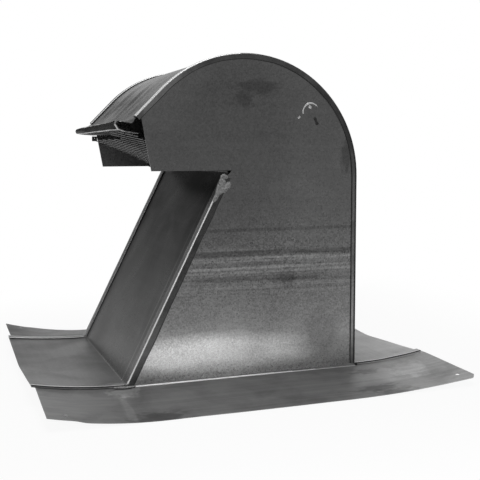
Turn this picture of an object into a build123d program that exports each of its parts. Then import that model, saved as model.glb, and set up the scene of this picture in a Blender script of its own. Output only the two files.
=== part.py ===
from build123d import *
from math import asin, atan2, cos, hypot, radians, sin, sqrt
import os

# Gooseneck roof vent of galvanised sheet: two cheeks, a heel sheet, a throat sheet and a mesh screen.
# Millimetres, +Z up. The mouth looks to -X, the back to +X, and the vent is symmetric about Y = 0
# apart from the curl of its flange and the open end of its hem. The origin is the centre of the
# flange, at the floor.
os.makedirs("parts", exist_ok=True)

# Sheet and duct
sheet = 0.7               # thickness of the galvanised sheet
duct_width = 254.0        # clear width between the two cheeks
foot_length = 261.0       # foot of the throat to the back, on the foot line

# Side profile, measured from the back and from the foot line
hood_radius = 128.0       # outside of the hood's arc
arc_height = 211.5        # centre of the arc above the foot line
arc_turn = 135.0          # degrees of arc from the back over the top
hood_run = 39.0           # straight part of the hood after the arc
mouth_height = 219.0      # lower edge of the mouth above the foot line
throat_setback = 151.0    # top of the throat forward of the back
mouth_reach = 230.5       # lower front corner of the cheek forward of the back
cheek_stop = 6.0          # cheek ends this far short of the hood's seam

# Lock seams along the back, hood and throat
pocket = 10.0             # width of the folded pocket
heel_lip = 6.5            # lip hammered over the cheek along the back and hood
throat_lip = 8.8          # lip hammered over the cheek along the throat
pocket_play = 0.4         # cheek's turned edge to the bottom of the pocket
seam_start = 3.0          # seams start this far above the foot line
seam_stop = 5.0           # throat seams stop this far below the mouth

# Front hem of the hood
lip_reach = 20.0          # nose of the hem forward of the hood's end
nose_drop = 13.0          # lower layer at the nose, below the hood's end
hem_bend = 1.2            # middle radius of the hem's bends
return_length = 24.0      # lower layer of the hem, from the nose back
sag_run = 2.9             # upper layer is lowest this far forward of its bend
near_nose = 7.6           # height of the open nose at the near end
near_sag = 4.7            # upper layer sags this far at the near end
near_tuck = 6.0           # lower bend of the nose lies this far back at the near end
sag_length = 42.0         # sag and tuck of the near end fade out over this length
far_nose = 4.0            # height of the closed nose at the far end
far_sag = 0.7             # sag of the upper layer over the rest of the hem
far_tuck = 2.0            # tuck of the lower bend over the rest of the hem
far_lean = 1.9            # upper bend of the nose lies this far back at the far end

# Sill at the top of the throat, and the screen
sill_width = 22.0         # flange turned forward at the top of the throat
sill_bend = 1.5           # middle radius of the bend at the sill
screen_thickness = 1.0
screen_side_gap = 0.4     # edge of the screen to the cheek
screen_hem_lap = 14.0     # screen lies this far over the lower layer of the hem
screen_sill_lap = 6.0     # screen lies this far over the sill
cells_across = 7.5        # diamonds of the mesh between the cheeks
cell_short = 11.0         # about the short way of a diamond
strand = 1.6              # width of a strand

# Flange: front and rear aprons that lap over two side strips
side_margin = 88.0        # cheek to the side edge
front_apron = 93.0        # foot of the throat to the front edge of its apron
rear_apron = 85.0         # back to the rear edge of its apron
front_strip = 89.0        # foot of the throat to the front edge of a side strip
rear_strip = 88.5         # back to the rear edge of a side strip, at the cheek
rear_flare = 13.0         # rear edge of a side strip runs back by this much to its corner
corner_clip = 7.0         # corner cut off the rear end of a side strip
trim_depth = 3.7          # side edge trimmed by this much at its front end
trim_length = 24.5        # length of the trimmed stretch
trim_ramp = 12.0          # the trim runs out over this length
edge_drop = 9.5           # side edges below the foot line
foot_bend = 2.0           # inside radius of the bends at the foot
lap = 10.0                # side strip runs this far under the aprons
lap_gap = 0.1             # between an apron and the strip under it
flat_front = 26.0         # side edge lies flat from this far behind the throat's foot
flat_rear = 66.0          # side edge lies flat to this far before the back
end_stations = 4          # sections of each curled stretch

# Curl of the aprons' edges above the foot line, at each lap and in the middle
near_front_lap = 9.3
front_middle = 0.4
far_front_lap = 6.3
near_rear_lap = 7.3
rear_middle = 0.5
far_rear_lap = 7.5

# Curl of the side edges' corners above the floor
near_front_corner = 12.5
near_rear_corner = 9.5
far_front_corner = 17.0
far_rear_corner = 15.0

# Nail holes in the corners of the flange
nail_radius = 2.4
nail_front_inset = 18.0   # from the front edge of a side strip
nail_rear_inset = 16.0    # from the rear corner of a side strip
nail_side_inset = 15.5    # from the side edges

# Places that follow from the sizes
half_duct = duct_width / 2
half_body = half_duct + sheet
half_flange = half_body + side_margin
rear_reach = rear_strip + rear_flare
back_x = (foot_length + front_apron - rear_reach) / 2
throat_foot_x = back_x - foot_length
front_x = throat_foot_x - front_strip
rear_x = back_x + rear_reach
foot_z = edge_drop + sheet
arc_x = back_x - hood_radius
arc_z = foot_z + arc_height
mouth_z = foot_z + mouth_height
throat_run = foot_length - throat_setback
throat_cot = throat_run / mouth_height
throat_sin = mouth_height / hypot(throat_run, mouth_height)
main_mid = 3.5 * sheet    # middle of the main sheet, under the fold, the turned edge and the outer layer
apron_mid = lap_gap + sheet / 2
bend_mid = foot_bend + sheet / 2
flat_front_x = throat_foot_x + flat_front
flat_rear_x = back_x - flat_rear
strip_y = half_body + foot_bend
fold_y = half_body - pocket


def throat_x(height, inset):
    """X of the throat at a height above the foot line, an inset in from its outer skin."""
    return throat_foot_x + height * throat_cot + inset / throat_sin


def hood_point(inset, run):
    """Point on the straight part of the hood, a run past the end of the arc."""
    turn = radians(arc_turn)
    radius = hood_radius - inset
    return arc_x + radius * cos(turn) - run * sin(turn), arc_z + radius * sin(turn) + run * cos(turn)


# The screen runs from the lower layer of the hem, over its upper face, down to the sill
sill_x = throat_x(mouth_height, main_mid) - sill_width
screen_x = sill_x + screen_sill_lap
nose_x = hood_point(0, hood_run)[0] - lip_reach
nose_z = hood_point(0, hood_run)[1] - nose_drop
screen_reach = hypot(screen_x - nose_x, nose_z - mouth_z)
screen_angle = atan2(nose_z - mouth_z, screen_x - nose_x) + asin(sheet / 2 / screen_reach)
screen_length = screen_reach - return_length + screen_hem_lap


def curl(distance, length, rise):
    """Height of a strip that leaves the level and reaches a rise at the end of a length."""
    radius = (length**2 + rise**2) / (2 * rise)
    return radius - sqrt(radius**2 - max(distance, 0.0) ** 2)


def curled_line(body_x, edge_x, rise, lift):
    """Arc that leaves the body level at a lift above the foot line and rises to the edge."""
    length = abs(edge_x - body_x)
    middle_z = foot_z + lift + curl(length / 2, length, rise)
    return ThreePointArc(
        (body_x, foot_z + lift), ((body_x + edge_x) / 2, middle_z), (edge_x, foot_z + lift + rise)
    )


def apron_section(distance, body_x, edge_x, rise, layer):
    """Section of one layer of an apron, on an upright plane."""
    with BuildSketch(Plane.XZ.offset(distance)) as section:
        with BuildLine():
            low = curled_line(body_x, edge_x, rise, layer[0])
            high = curled_line(body_x, edge_x, rise, layer[1])
            Line(low @ 0, high @ 0)
            Line(low @ 1, high @ 1)
        make_face()
    return section.sketch


def apron(body_x, edge_x, near_rise, middle_rise, far_rise):
    """Sections of an apron, which sags between its laps, and of the pocket's layers on each lap."""
    main_layer = (lap_gap, lap_gap + sheet)
    fold_layers = (lap_gap + sheet, lap_gap + 3 * sheet)
    stations = (
        (half_duct, near_rise),
        (fold_y, near_rise),
        (0, middle_rise),
        (-fold_y, far_rise),
        (-half_duct, far_rise),
    )
    lofts = [[apron_section(distance, body_x, edge_x, rise, main_layer) for distance, rise in stations]]
    for distances, rise in (((half_body, fold_y), near_rise), ((-fold_y, -half_body), far_rise)):
        lofts.append([apron_section(distance, body_x, edge_x, rise, fold_layers) for distance in distances])
    return lofts


def heel_strip(distance, outer, inner, stop=0.0):
    """Strip along the back, arc and hood between two insets from the skin, on an upright plane."""
    run = hood_run - stop
    with BuildSketch(Plane.XZ.offset(distance)) as strip:
        for inset, mode in ((outer, Mode.ADD), (inner, Mode.SUBTRACT)):
            with BuildLine():
                back = Line((back_x - inset, foot_z + seam_start), (back_x - inset, arc_z))
                arc = CenterArc((arc_x, arc_z), hood_radius - inset, 0, arc_turn)
                hood = Line(arc @ 1, hood_point(inset, run))
                corner = hood_point(hood_radius, run)
                Polyline(hood @ 1, corner, (arc_x, arc_z), (arc_x, foot_z + seam_start), back @ 0)
            make_face(mode=mode)
    return strip.sketch


def throat_strip(distance, outer, inner):
    """Strip along the throat between two insets from the skin, on an upright plane."""
    top = mouth_height - seam_stop
    with BuildSketch(Plane.XZ.offset(distance)) as strip:
        with BuildLine():
            Polyline(
                (throat_x(seam_start, outer), foot_z + seam_start),
                (throat_x(top, outer), foot_z + top),
                (throat_x(top, inner), foot_z + top),
                (throat_x(seam_start, inner), foot_z + seam_start),
                close=True,
            )
        make_face()
    return strip.sketch


def seam_layers(strip, lip):
    """Layers of a lock seam on the near side, as faces with the widths they are drawn to."""
    inside = half_duct - pocket
    return (
        (strip(inside, 2 * sheet, 3 * sheet), pocket),
        (strip(inside, sheet, 2 * sheet), sheet),
        (strip(inside, 0, sheet), pocket + 2 * sheet),
        (strip(half_body, 0, lip), sheet),
    )


def hem_point(distance):
    """Point on the lower layer of the hem, which lies in line with the screen."""
    return nose_x + distance * cos(screen_angle), nose_z - distance * sin(screen_angle)


def hem_section(distance, nose, sag, tuck, lean):
    """Open hem of the hood's front edge: forward, round the nose and back under the screen."""
    start = hood_point(main_mid, hood_run)
    bend = hood_point(main_mid, hood_run + 2 * hem_bend)
    top = (nose_x + lean, nose_z + nose)
    straight_drop = sag_run * (bend[1] - top[1]) / (bend[0] - top[0])
    low = (bend[0] - sag_run, bend[1] - straight_drop - sag)
    with BuildSketch(Plane.XZ.offset(distance)) as section:
        with BuildLine():
            FilletPolyline(
                start, bend, low, top, hem_point(tuck), hem_point(return_length), radius=hem_bend
            )
        trace(line_width=sheet)
    return section.sketch


def side_edge_z(x, corners):
    """Top of the side edge of the flange, which curls up to its front and rear corners."""
    front_corner, rear_corner = corners
    if x < flat_front_x:
        return sheet + front_corner * ((flat_front_x - x) / (flat_front_x - front_x)) ** 2
    if x > flat_rear_x:
        return sheet + rear_corner * ((x - flat_rear_x) / (rear_x - flat_rear_x)) ** 2
    return sheet


def side_strip_section(x, laps, corners, tongue):
    """Section of the near side strip of the flange at X, with its tongue under an apron."""
    front_lap, rear_lap = laps
    inner_z = foot_z + curl(throat_foot_x - x, front_apron, front_lap)
    inner_z += curl(x - back_x, rear_apron, rear_lap)
    outer_z = side_edge_z(x, corners)
    points = [
        (-strip_y, inner_z),
        (-half_flange, outer_z),
        (-half_flange, outer_z - sheet),
        (-strip_y, inner_z - sheet),
    ]
    if tongue:
        points += [(lap - half_body, inner_z - sheet), (lap - half_body, inner_z)]
    with BuildSketch(Plane.YZ.offset(x)) as section:
        with BuildLine():
            Polyline(*points, close=True)
        make_face()
    return section.sketch


def side_strip(laps, corners):
    """Sections of the near side strip, span by span from the front edge to the rear corner."""
    spans = (
        (front_x, throat_foot_x, True),
        (throat_foot_x, flat_front_x, False),
        (flat_front_x, flat_rear_x, False),
        (flat_rear_x, back_x, False),
        (back_x, rear_x, True),
    )
    strip = []
    for start, end, tongue in spans:
        step = (end - start) / (end_stations - 1)
        places = [start + step * station for station in range(end_stations)]
        strip.append([side_strip_section(x, laps, corners, tongue) for x in places])
    return strip


# Heel sheet: rear apron, back, arc, hood and front hem in one piece
heel_x = back_x - main_mid
with BuildSketch(Plane.XZ) as heel_profile:
    with BuildLine():
        FilletPolyline(
            (back_x, foot_z + apron_mid), (heel_x, foot_z + apron_mid), (heel_x, arc_z), radius=bend_mid
        )
        arc = CenterArc((arc_x, arc_z), hood_radius - main_mid, 0, arc_turn)
        Line(arc @ 1, hood_point(main_mid, hood_run))
    trace(line_width=sheet)
heel_seam = seam_layers(heel_strip, heel_lip)
rear_apron_layers = apron(back_x, back_x + rear_apron, near_rear_lap, rear_middle, far_rear_lap)
sag_share = sag_length / duct_width
sag_end_nose = near_nose + (far_nose - near_nose) * sag_share
hem_sections = [
    hem_section(half_duct, near_nose, near_sag, near_tuck, 0.0),
    hem_section(half_duct - sag_length, sag_end_nose, far_sag, far_tuck, far_lean * sag_share),
    hem_section(-half_duct, far_nose, far_sag, far_tuck, far_lean),
]
with BuildPart() as heel_sheet:
    for face, width in heel_seam:
        extrude(face, amount=width)
    mirror(about=Plane.XZ)
    extrude(heel_profile.sketch, amount=half_duct, both=True)
    for sections in rear_apron_layers:
        loft(sections, ruled=True)
    loft(hem_sections, ruled=True)
heel_sheet.part.label = "heel_sheet"
export_step(heel_sheet.part, "parts/heel_sheet.step")

# Throat sheet: front apron, sloping throat and sill in one piece
with BuildSketch(Plane.XZ) as throat_profile:
    with BuildLine():
        FilletPolyline(
            (throat_foot_x, foot_z + apron_mid),
            (throat_x(apron_mid, main_mid), foot_z + apron_mid),
            (throat_x(mouth_height - sheet / 2, main_mid), mouth_z - sheet / 2),
            (sill_x, mouth_z - sheet / 2),
            radius=(bend_mid, sill_bend),
        )
    trace(line_width=sheet)
throat_seam = seam_layers(throat_strip, throat_lip)
front_apron_layers = apron(
    throat_foot_x, throat_foot_x - front_apron, near_front_lap, front_middle, far_front_lap
)
with BuildPart() as throat_sheet:
    for face, width in throat_seam:
        extrude(face, amount=width)
    mirror(about=Plane.XZ)
    extrude(throat_profile.sketch, amount=half_duct, both=True)
    for sections in front_apron_layers:
        loft(sections, ruled=True)
throat_sheet.part.label = "throat_sheet"
export_step(throat_sheet.part, "parts/throat_sheet.step")

# Outline of a cheek, which ends under the outer layer of the seams
with BuildSketch(Plane.XZ.offset(half_duct)) as cheek_plate:
    with BuildLine():
        arc = CenterArc((arc_x, arc_z), hood_radius - sheet, 0, arc_turn)
        Polyline(
            arc @ 1,
            hood_point(sheet, hood_run - cheek_stop),
            (back_x - mouth_reach, mouth_z),
            (throat_x(mouth_height, sheet), mouth_z),
            (throat_x(foot_bend, sheet), foot_z + foot_bend),
            (back_x - sheet, foot_z + foot_bend),
            arc @ 0,
        )
    make_face()

# Edges of a cheek that are turned in and lie in the pockets, and the bend at its foot
turned_y = half_duct - pocket + sheet + pocket_play
turned_edges = [heel_strip(turned_y, sheet, 2 * sheet, cheek_stop), throat_strip(turned_y, sheet, 2 * sheet)]
with BuildSketch(Plane.YZ.offset(throat_foot_x)) as cheek_bend:
    with BuildLine():
        centre = (-strip_y, foot_z + foot_bend)
        inside = CenterArc(centre, foot_bend, -90, 90)
        outside = CenterArc(centre, foot_bend + sheet, -90, 90)
        Line(inside @ 0, outside @ 0)
        Line(inside @ 1, outside @ 1)
    make_face()

# Outline of a side strip in plan: trimmed at its front end, cut aslant at its rear end
trim_x = front_x + trim_length
with BuildSketch(Plane.XY.offset(-sheet)) as strip_plan:
    with BuildLine():
        Polyline(
            (front_x, 0),
            (front_x, trim_depth - half_flange),
            (trim_x, trim_depth - half_flange),
            (trim_x + trim_ramp, -half_flange),
            (rear_x - corner_clip, -half_flange),
            (rear_x, corner_clip - half_flange),
            (back_x + rear_strip, -half_body),
            (back_x + rear_strip, 0),
            close=True,
        )
    make_face()

# Cheeks: side wall and side strip of the flange in one piece
cheeks = (
    ("near_cheek", (near_front_lap, near_rear_lap), (near_front_corner, near_rear_corner)),
    ("far_cheek", (far_front_lap, far_rear_lap), (far_front_corner, far_rear_corner)),
)
for name, laps, corners in cheeks:
    strip_spans = side_strip(laps, corners)
    with BuildPart() as cheek:
        for sections in strip_spans:
            loft(sections)
        extrude(strip_plan.sketch, amount=arc_z, mode=Mode.INTERSECT)
        extrude(cheek_plate.sketch, amount=sheet)
        for face in turned_edges:
            extrude(face, amount=half_duct - turned_y)
        extrude(cheek_bend.sketch, amount=foot_length - sheet)
        for x in (front_x + nail_front_inset, rear_x - nail_rear_inset):
            with Locations((x, nail_side_inset - half_flange, foot_z)):
                Hole(nail_radius, depth=foot_z + max(corners))
    cheek_part = cheek.part if name == "near_cheek" else mirror(cheek.part, about=Plane.XZ)
    cheek_part.label = name
    export_step(cheek_part, f"parts/{name}.step")

# Screen: a flat sheet of diamond mesh from the hem down to the sill
screen_width = duct_width - 2 * screen_side_gap
rows = round(screen_length / (cell_short / 2))
columns = int(cells_across) + 1
half_long = screen_width / cells_across / 2
half_short = screen_length / rows
hole_share = 1 - strand / 2 * hypot(half_long, half_short) / (half_long * half_short)
hole_centres = [
    (column * half_long, row * half_short)
    for row in range(rows + 1)
    for column in range(-columns, columns + 1)
    if (row + column) % 2 == 0
]
screen_plane = Plane(
    origin=(screen_x, 0, mouth_z),
    x_dir=(0, 1, 0),
    z_dir=(sin(screen_angle), 0, cos(screen_angle)),
)
with BuildPart() as screen:
    with BuildSketch(screen_plane):
        Rectangle(screen_width, screen_length, align=(Align.CENTER, Align.MIN))
        with Locations(*hole_centres):
            Polygon(
                (-half_long * hole_share, 0),
                (0, -half_short * hole_share),
                (half_long * hole_share, 0),
                (0, half_short * hole_share),
                mode=Mode.SUBTRACT,
            )
    extrude(amount=screen_thickness)
screen.part.label = "screen"
export_step(screen.part, "parts/screen.step")
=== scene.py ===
import logging
import math
from collections.abc import Callable
from dataclasses import dataclass, field
from enum import Enum, IntEnum

import bmesh
import bpy
import numpy as np
from mathutils import Matrix, Vector


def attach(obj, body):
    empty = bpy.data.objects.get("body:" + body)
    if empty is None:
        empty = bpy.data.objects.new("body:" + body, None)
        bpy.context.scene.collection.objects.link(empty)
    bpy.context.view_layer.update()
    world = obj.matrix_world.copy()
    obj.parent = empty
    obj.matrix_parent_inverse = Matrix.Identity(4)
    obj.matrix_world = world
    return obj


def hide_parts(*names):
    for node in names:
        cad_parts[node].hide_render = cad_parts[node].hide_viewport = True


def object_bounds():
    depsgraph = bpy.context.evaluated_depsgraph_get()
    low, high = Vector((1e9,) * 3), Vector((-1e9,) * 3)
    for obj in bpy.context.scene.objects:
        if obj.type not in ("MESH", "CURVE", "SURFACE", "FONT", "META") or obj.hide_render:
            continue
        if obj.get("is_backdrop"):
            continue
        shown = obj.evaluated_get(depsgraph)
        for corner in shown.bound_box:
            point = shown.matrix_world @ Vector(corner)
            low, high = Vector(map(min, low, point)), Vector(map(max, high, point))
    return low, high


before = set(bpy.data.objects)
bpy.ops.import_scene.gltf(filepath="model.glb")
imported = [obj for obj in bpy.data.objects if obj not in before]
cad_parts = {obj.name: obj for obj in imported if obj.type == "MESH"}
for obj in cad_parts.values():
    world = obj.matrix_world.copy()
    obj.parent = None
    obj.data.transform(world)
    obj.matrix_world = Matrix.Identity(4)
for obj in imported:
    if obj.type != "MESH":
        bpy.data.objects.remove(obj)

MM = 0.001
MOST_OF_SPAN = 0.48
SHARP_ANGLE = math.radians(32)
CHEEK_Y = -0.127
FLANGE_Z = 0.01
STAIN_DEPTH = 0.1
log = logging.getLogger("gooseneck_vent")


class Side(Enum):
    """The two sides of the vent, as the sign of Y."""

    NEAR = -1
    FAR = 1


class ApronEnd(IntEnum):
    """The two aprons of the flange, as places in the form's pairs of sizes."""

    FRONT = 0
    REAR = 1


class Stretch(Enum):
    """Scale of a streaky texture along X, Y and Z: small along its streaks."""

    ALONG_X = (0.03, 1.0, 1.0)
    ALONG_Y = (1.0, 0.03, 1.0)


class WrapFinish(IntEnum):
    """Place of each finish in the list of a heel or throat sheet."""

    SHEET = 0
    APRON = 1
    FOLD = 2
    # Bright bends: wear on the folds, and a painted highlight where they catch the lamps.
    WEAR_AND_PAINTED_HIGHLIGHT = 3
    LIP = 4
    # Dark finish: dirt, and painted shade in gaps and along the lips' edges.
    DIRT_AND_PAINTED_SHADE = 5
    SHADE = 6


class CheekFinish(IntEnum):
    """Place of each finish in the list of a cheek."""

    WALL = 0
    STRIP = 1
    # Bright foot bend: wear, and a painted highlight along the bend.
    WEAR_AND_PAINTED_HIGHLIGHT = 2


class SeamFace(IntEnum):
    """First face of each part of a lock seam's section, from the main sheet to the lip's edge."""

    GAP = 13
    INNER = 18
    TOP = 22
    CORNER = 27
    LIP = 31
    RIM = 37
    END = 38


class LapFace(IntEnum):
    """First face of each part of an apron's lap, from the apron to the edge of its top layer."""

    GAP = 14
    INNER = 18
    TOP = 23
    EDGE = 26
    RIM = 27
    END = 28


class HemFace(IntEnum):
    """First face of each part of the hem, counted along the heel sheet from its foot bend."""

    UPPER_BEND = 93
    NOSE = 95
    LOWER_BEND = 110
    RETURN = 112


def bent(
    points: np.ndarray,
    radii: tuple[float, ...],
    arc_steps: int = 5,
    span_steps: tuple[int, ...] | int = 1,
) -> np.ndarray:
    """Sample a line of straight spans whose corners are rounded.

    Args:
        points: Ends and corners of the line, one row each.
        radii: Radius of each corner, made smaller where its spans are short.
        arc_steps: Steps round each corner.
        span_steps: Steps along each straight span.

    Returns:
        The sampled points, always as many for the same counts.
    """
    points = np.asarray(points, float)
    spans = np.diff(points, axis=0)
    lengths = np.linalg.norm(spans, axis=1)
    ways = spans / lengths[:, None]
    counts = (span_steps,) * len(spans) if isinstance(span_steps, int) else span_steps
    arcs = []
    for place, radius in enumerate(radii):
        before, after = ways[place], ways[place + 1]
        cross = before[0] * after[1] - before[1] * after[0]
        turn = math.atan2(cross, float(before @ after))
        half = math.tan(max(abs(turn), 1e-6) / 2)
        reach = min(radius * half, MOST_OF_SPAN * lengths[place], MOST_OF_SPAN * lengths[place + 1])
        start = points[place + 1] - before * reach
        side = math.copysign(1.0, turn)
        centre = start + side * (reach / half) * np.array([-before[1], before[0]])
        spokes = []
        for angle in np.linspace(0.0, turn, arc_steps + 1):
            cos, sin = math.cos(angle), math.sin(angle)
            x, z = start - centre
            spokes.append(centre + np.array([x * cos - z * sin, x * sin + z * cos]))
        arcs.append(np.array(spokes))
    stops = [points[:1]] + arcs + [points[-1:]]
    line = [stops[0]]
    for count, before, after in zip(counts, stops[:-1], stops[1:]):
        share = np.linspace(0.0, 1.0, count + 1)[1:, None]
        line.append(before[-1] + (after[0] - before[-1]) * share)
        line.append(after[1:])
    return np.concatenate(line)


def run_along(line: np.ndarray) -> np.ndarray:
    """Length run at each point of a line."""
    return np.concatenate([[0.0], np.cumsum(np.linalg.norm(np.diff(line, axis=0), axis=1))])


def even_steps(line: np.ndarray, count: int) -> np.ndarray:
    """Sample a line at even steps.

    Args:
        line: Points of the line, one row each.
        count: How many samples to take.

    Returns:
        The samples, one row each.
    """
    run = run_along(line)
    even = np.linspace(0.0, run[-1], count)
    return np.stack([np.interp(even, run, line[:, k]) for k in range(line.shape[1])], -1)


def ripple(first: np.ndarray, second: np.ndarray, length: float, seed: int) -> np.ndarray:
    """Smooth uneven waves over a surface, from -1 to 1.

    Args:
        first: First place of each point, in millimetres.
        second: Second place of each point.
        length: Usual length of a wave.
        seed: Number that picks the waves.

    Returns:
        A height for each point.
    """
    dice = np.random.default_rng(seed)
    waves = 6
    total = np.zeros(np.broadcast(first, second).shape)
    for _ in range(waves):
        heading, phase = dice.uniform(0, 2 * math.pi, 2)
        pace = 2 * math.pi / (length * dice.uniform(0.7, 1.9))
        total += np.sin(pace * (first * math.cos(heading) + second * math.sin(heading)) + phase)
    return total / waves


def fade(value: np.ndarray, low: float, high: float) -> np.ndarray:
    """Rise smoothly from 0 at one value to 1 at another."""
    share = np.clip((np.asarray(value, float) - low) / (high - low), 0.0, 1.0)
    return share * share * (3 - 2 * share)


@dataclass
class VentForm:
    """Sizes in millimetres that the sheets share. They match the frame's own solids."""

    back_x: float
    sheet: float = 0.7
    foot_z: float = 10.2
    half_duct: float = 127.0
    half_body: float = 127.7
    half_flange: float = 215.7
    foot_length: float = 261.0
    hood_radius: float = 128.0
    arc_height: float = 211.5
    arc_turn: float = math.radians(135.0)
    hood_run: float = 39.0
    mouth_height: float = 219.0
    throat_setback: float = 151.0
    mouth_reach: float = 230.5
    fold_y: float = 117.7
    seam_inset: float = 1.0
    main_mid: float = 2.45
    fold_mid: float = 1.75
    outer_mid: float = 0.35
    apron_mid: float = 0.45
    bend_mid: float = 2.35
    seam_start: float = 3.0
    front_apron: float = 93.0
    rear_apron: float = 85.0
    laps: dict[Side, tuple[float, float]] = field(
        default_factory=lambda: {Side.NEAR: (9.3, 7.3), Side.FAR: (6.3, 7.5)}
    )
    middles: tuple[float, float] = (0.4, 0.5)
    sag_softness: float = 0.07
    wave_height: float = 0.5
    wave_length: float = 90.0
    back_stations: int = 17
    arc_stations: int = 46
    hood_stations: int = 8

    def __post_init__(self) -> None:
        """Work out the places that follow from the sizes."""
        self.throat_x0 = self.back_x - self.foot_length
        self.throat_cot = (self.foot_length - self.throat_setback) / self.mouth_height
        self.throat_sin = 1 / math.hypot(1.0, self.throat_cot)
        self.throat_cos = self.throat_cot * self.throat_sin
        self.arc_x = self.back_x - self.hood_radius
        self.arc_z = self.foot_z + self.arc_height
        self.mouth_z = self.foot_z + self.mouth_height

    def throat_point(self, height: np.ndarray | float, inset: float) -> np.ndarray:
        """Point behind the throat's outer skin, at a height above the foot line."""
        x = self.throat_x0 + height * self.throat_cot + inset / self.throat_sin
        return np.stack(np.broadcast_arrays(x, self.foot_z + height), -1)

    def hood_point(self, inset: float, run: float) -> np.ndarray:
        """Point on the straight part of the hood.

        Args:
            inset: How far it lies inside the outer skin.
            run: How far it lies past the end of the arc.

        Returns:
            Its X and Z.
        """
        cos, sin = math.cos(self.arc_turn), math.sin(self.arc_turn)
        radius = self.hood_radius - inset
        return np.array([self.arc_x + radius * cos - run * sin, self.arc_z + radius * sin + run * cos])

    def heel_line(self) -> tuple[np.ndarray, np.ndarray]:
        """Stations of the outer skin from the foot of the back to the end of the hood.

        Returns:
            Points on the skin and the directions square to it, inwards.
        """
        rise = np.linspace(self.foot_z + self.seam_start, self.arc_z, self.back_stations + 1)[:-1]
        angles = np.linspace(0.0, self.arc_turn, self.arc_stations)
        runs = np.linspace(0.0, self.hood_run, self.hood_stations + 1)[1:]
        upright = np.stack([np.full_like(rise, self.back_x), rise], -1)
        spokes = np.stack([np.cos(angles), np.sin(angles)], -1)
        arc = np.array([self.arc_x, self.arc_z]) + self.hood_radius * spokes
        hood = np.array([self.hood_point(0.0, run) for run in runs])
        inwards = np.concatenate(
            [np.tile([-1.0, 0.0], (len(rise), 1)), -spokes, np.tile(-spokes[-1], (len(runs), 1))]
        )
        return np.concatenate([upright, arc, hood]), inwards

    def skin_depth(self, x: np.ndarray, z: np.ndarray) -> np.ndarray:
        """How far a point lies inside the heel's outer skin."""
        angle = np.clip(np.arctan2(z - self.arc_z, x - self.arc_x), 0.0, self.arc_turn)
        return self.hood_radius - (x - self.arc_x) * np.cos(angle) - (z - self.arc_z) * np.sin(angle)

    @staticmethod
    def curl(distance: np.ndarray, length: float, rise: np.ndarray) -> np.ndarray:
        """Height of a strip that leaves the level and reaches a rise at the end of a length."""
        radius = (length**2 + rise**2) / (2 * rise)
        return radius - np.sqrt(radius**2 - np.maximum(distance, 0.0) ** 2)

    def lap_z(self, x: np.ndarray, side: Side) -> np.ndarray:
        """Level of the flange beside the body, which curls up at both ends.

        Args:
            x: X of each point.
            side: Side of the vent.

        Returns:
            Z of the strip's top at each point.
        """
        front, rear = self.laps[side]
        level = self.foot_z + self.curl(self.throat_x0 - x, self.front_apron, front)
        return level + self.curl(x - self.back_x, self.rear_apron, rear)

    def apron_z(self, x: np.ndarray, y: np.ndarray, end: ApronEnd) -> np.ndarray:
        """Level of an apron, which sags between its laps.

        Args:
            x: X of each point.
            y: Y of each point.
            end: Which apron.

        Returns:
            Z at each point, of the face that the apron lies on.
        """
        near, far = self.laps[Side.NEAR][end], self.laps[Side.FAR][end]
        soft = self.sag_softness
        share = np.clip(np.abs(y) / self.fold_y, 0, 1)
        share = (np.sqrt(share**2 + soft**2) - soft) / (math.sqrt(1 + soft**2) - soft)
        rise = self.middles[end] + (np.where(y < 0, near, far) - self.middles[end]) * share
        length = (self.front_apron, self.rear_apron)[end]
        distance = (self.throat_x0 - x, x - self.back_x)[end]
        return self.foot_z + self.curl(distance, length, rise)

    def apron_line(self, x: np.ndarray, y: float, end: ApronEnd) -> np.ndarray:
        """Middle line of an apron's sheet at one place across."""
        across = np.full_like(x, y)
        return np.stack([x, self.apron_z(x, across, end) + self.wave(x, across) + self.apron_mid], -1)

    def wave(self, x: np.ndarray, y: np.ndarray) -> np.ndarray:
        """Unevenness of the flange, nothing beside the body and most towards its edges.

        Args:
            x: X of each point.
            y: Y of each point.

        Returns:
            A height for each point.
        """
        away_x = np.maximum(self.throat_x0 - x, x - self.back_x)
        away = np.maximum(away_x, np.abs(y) - self.half_body)
        return self.wave_height * ripple(x, y, self.wave_length, 11) * fade(away, 8.0, 50.0)


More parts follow.
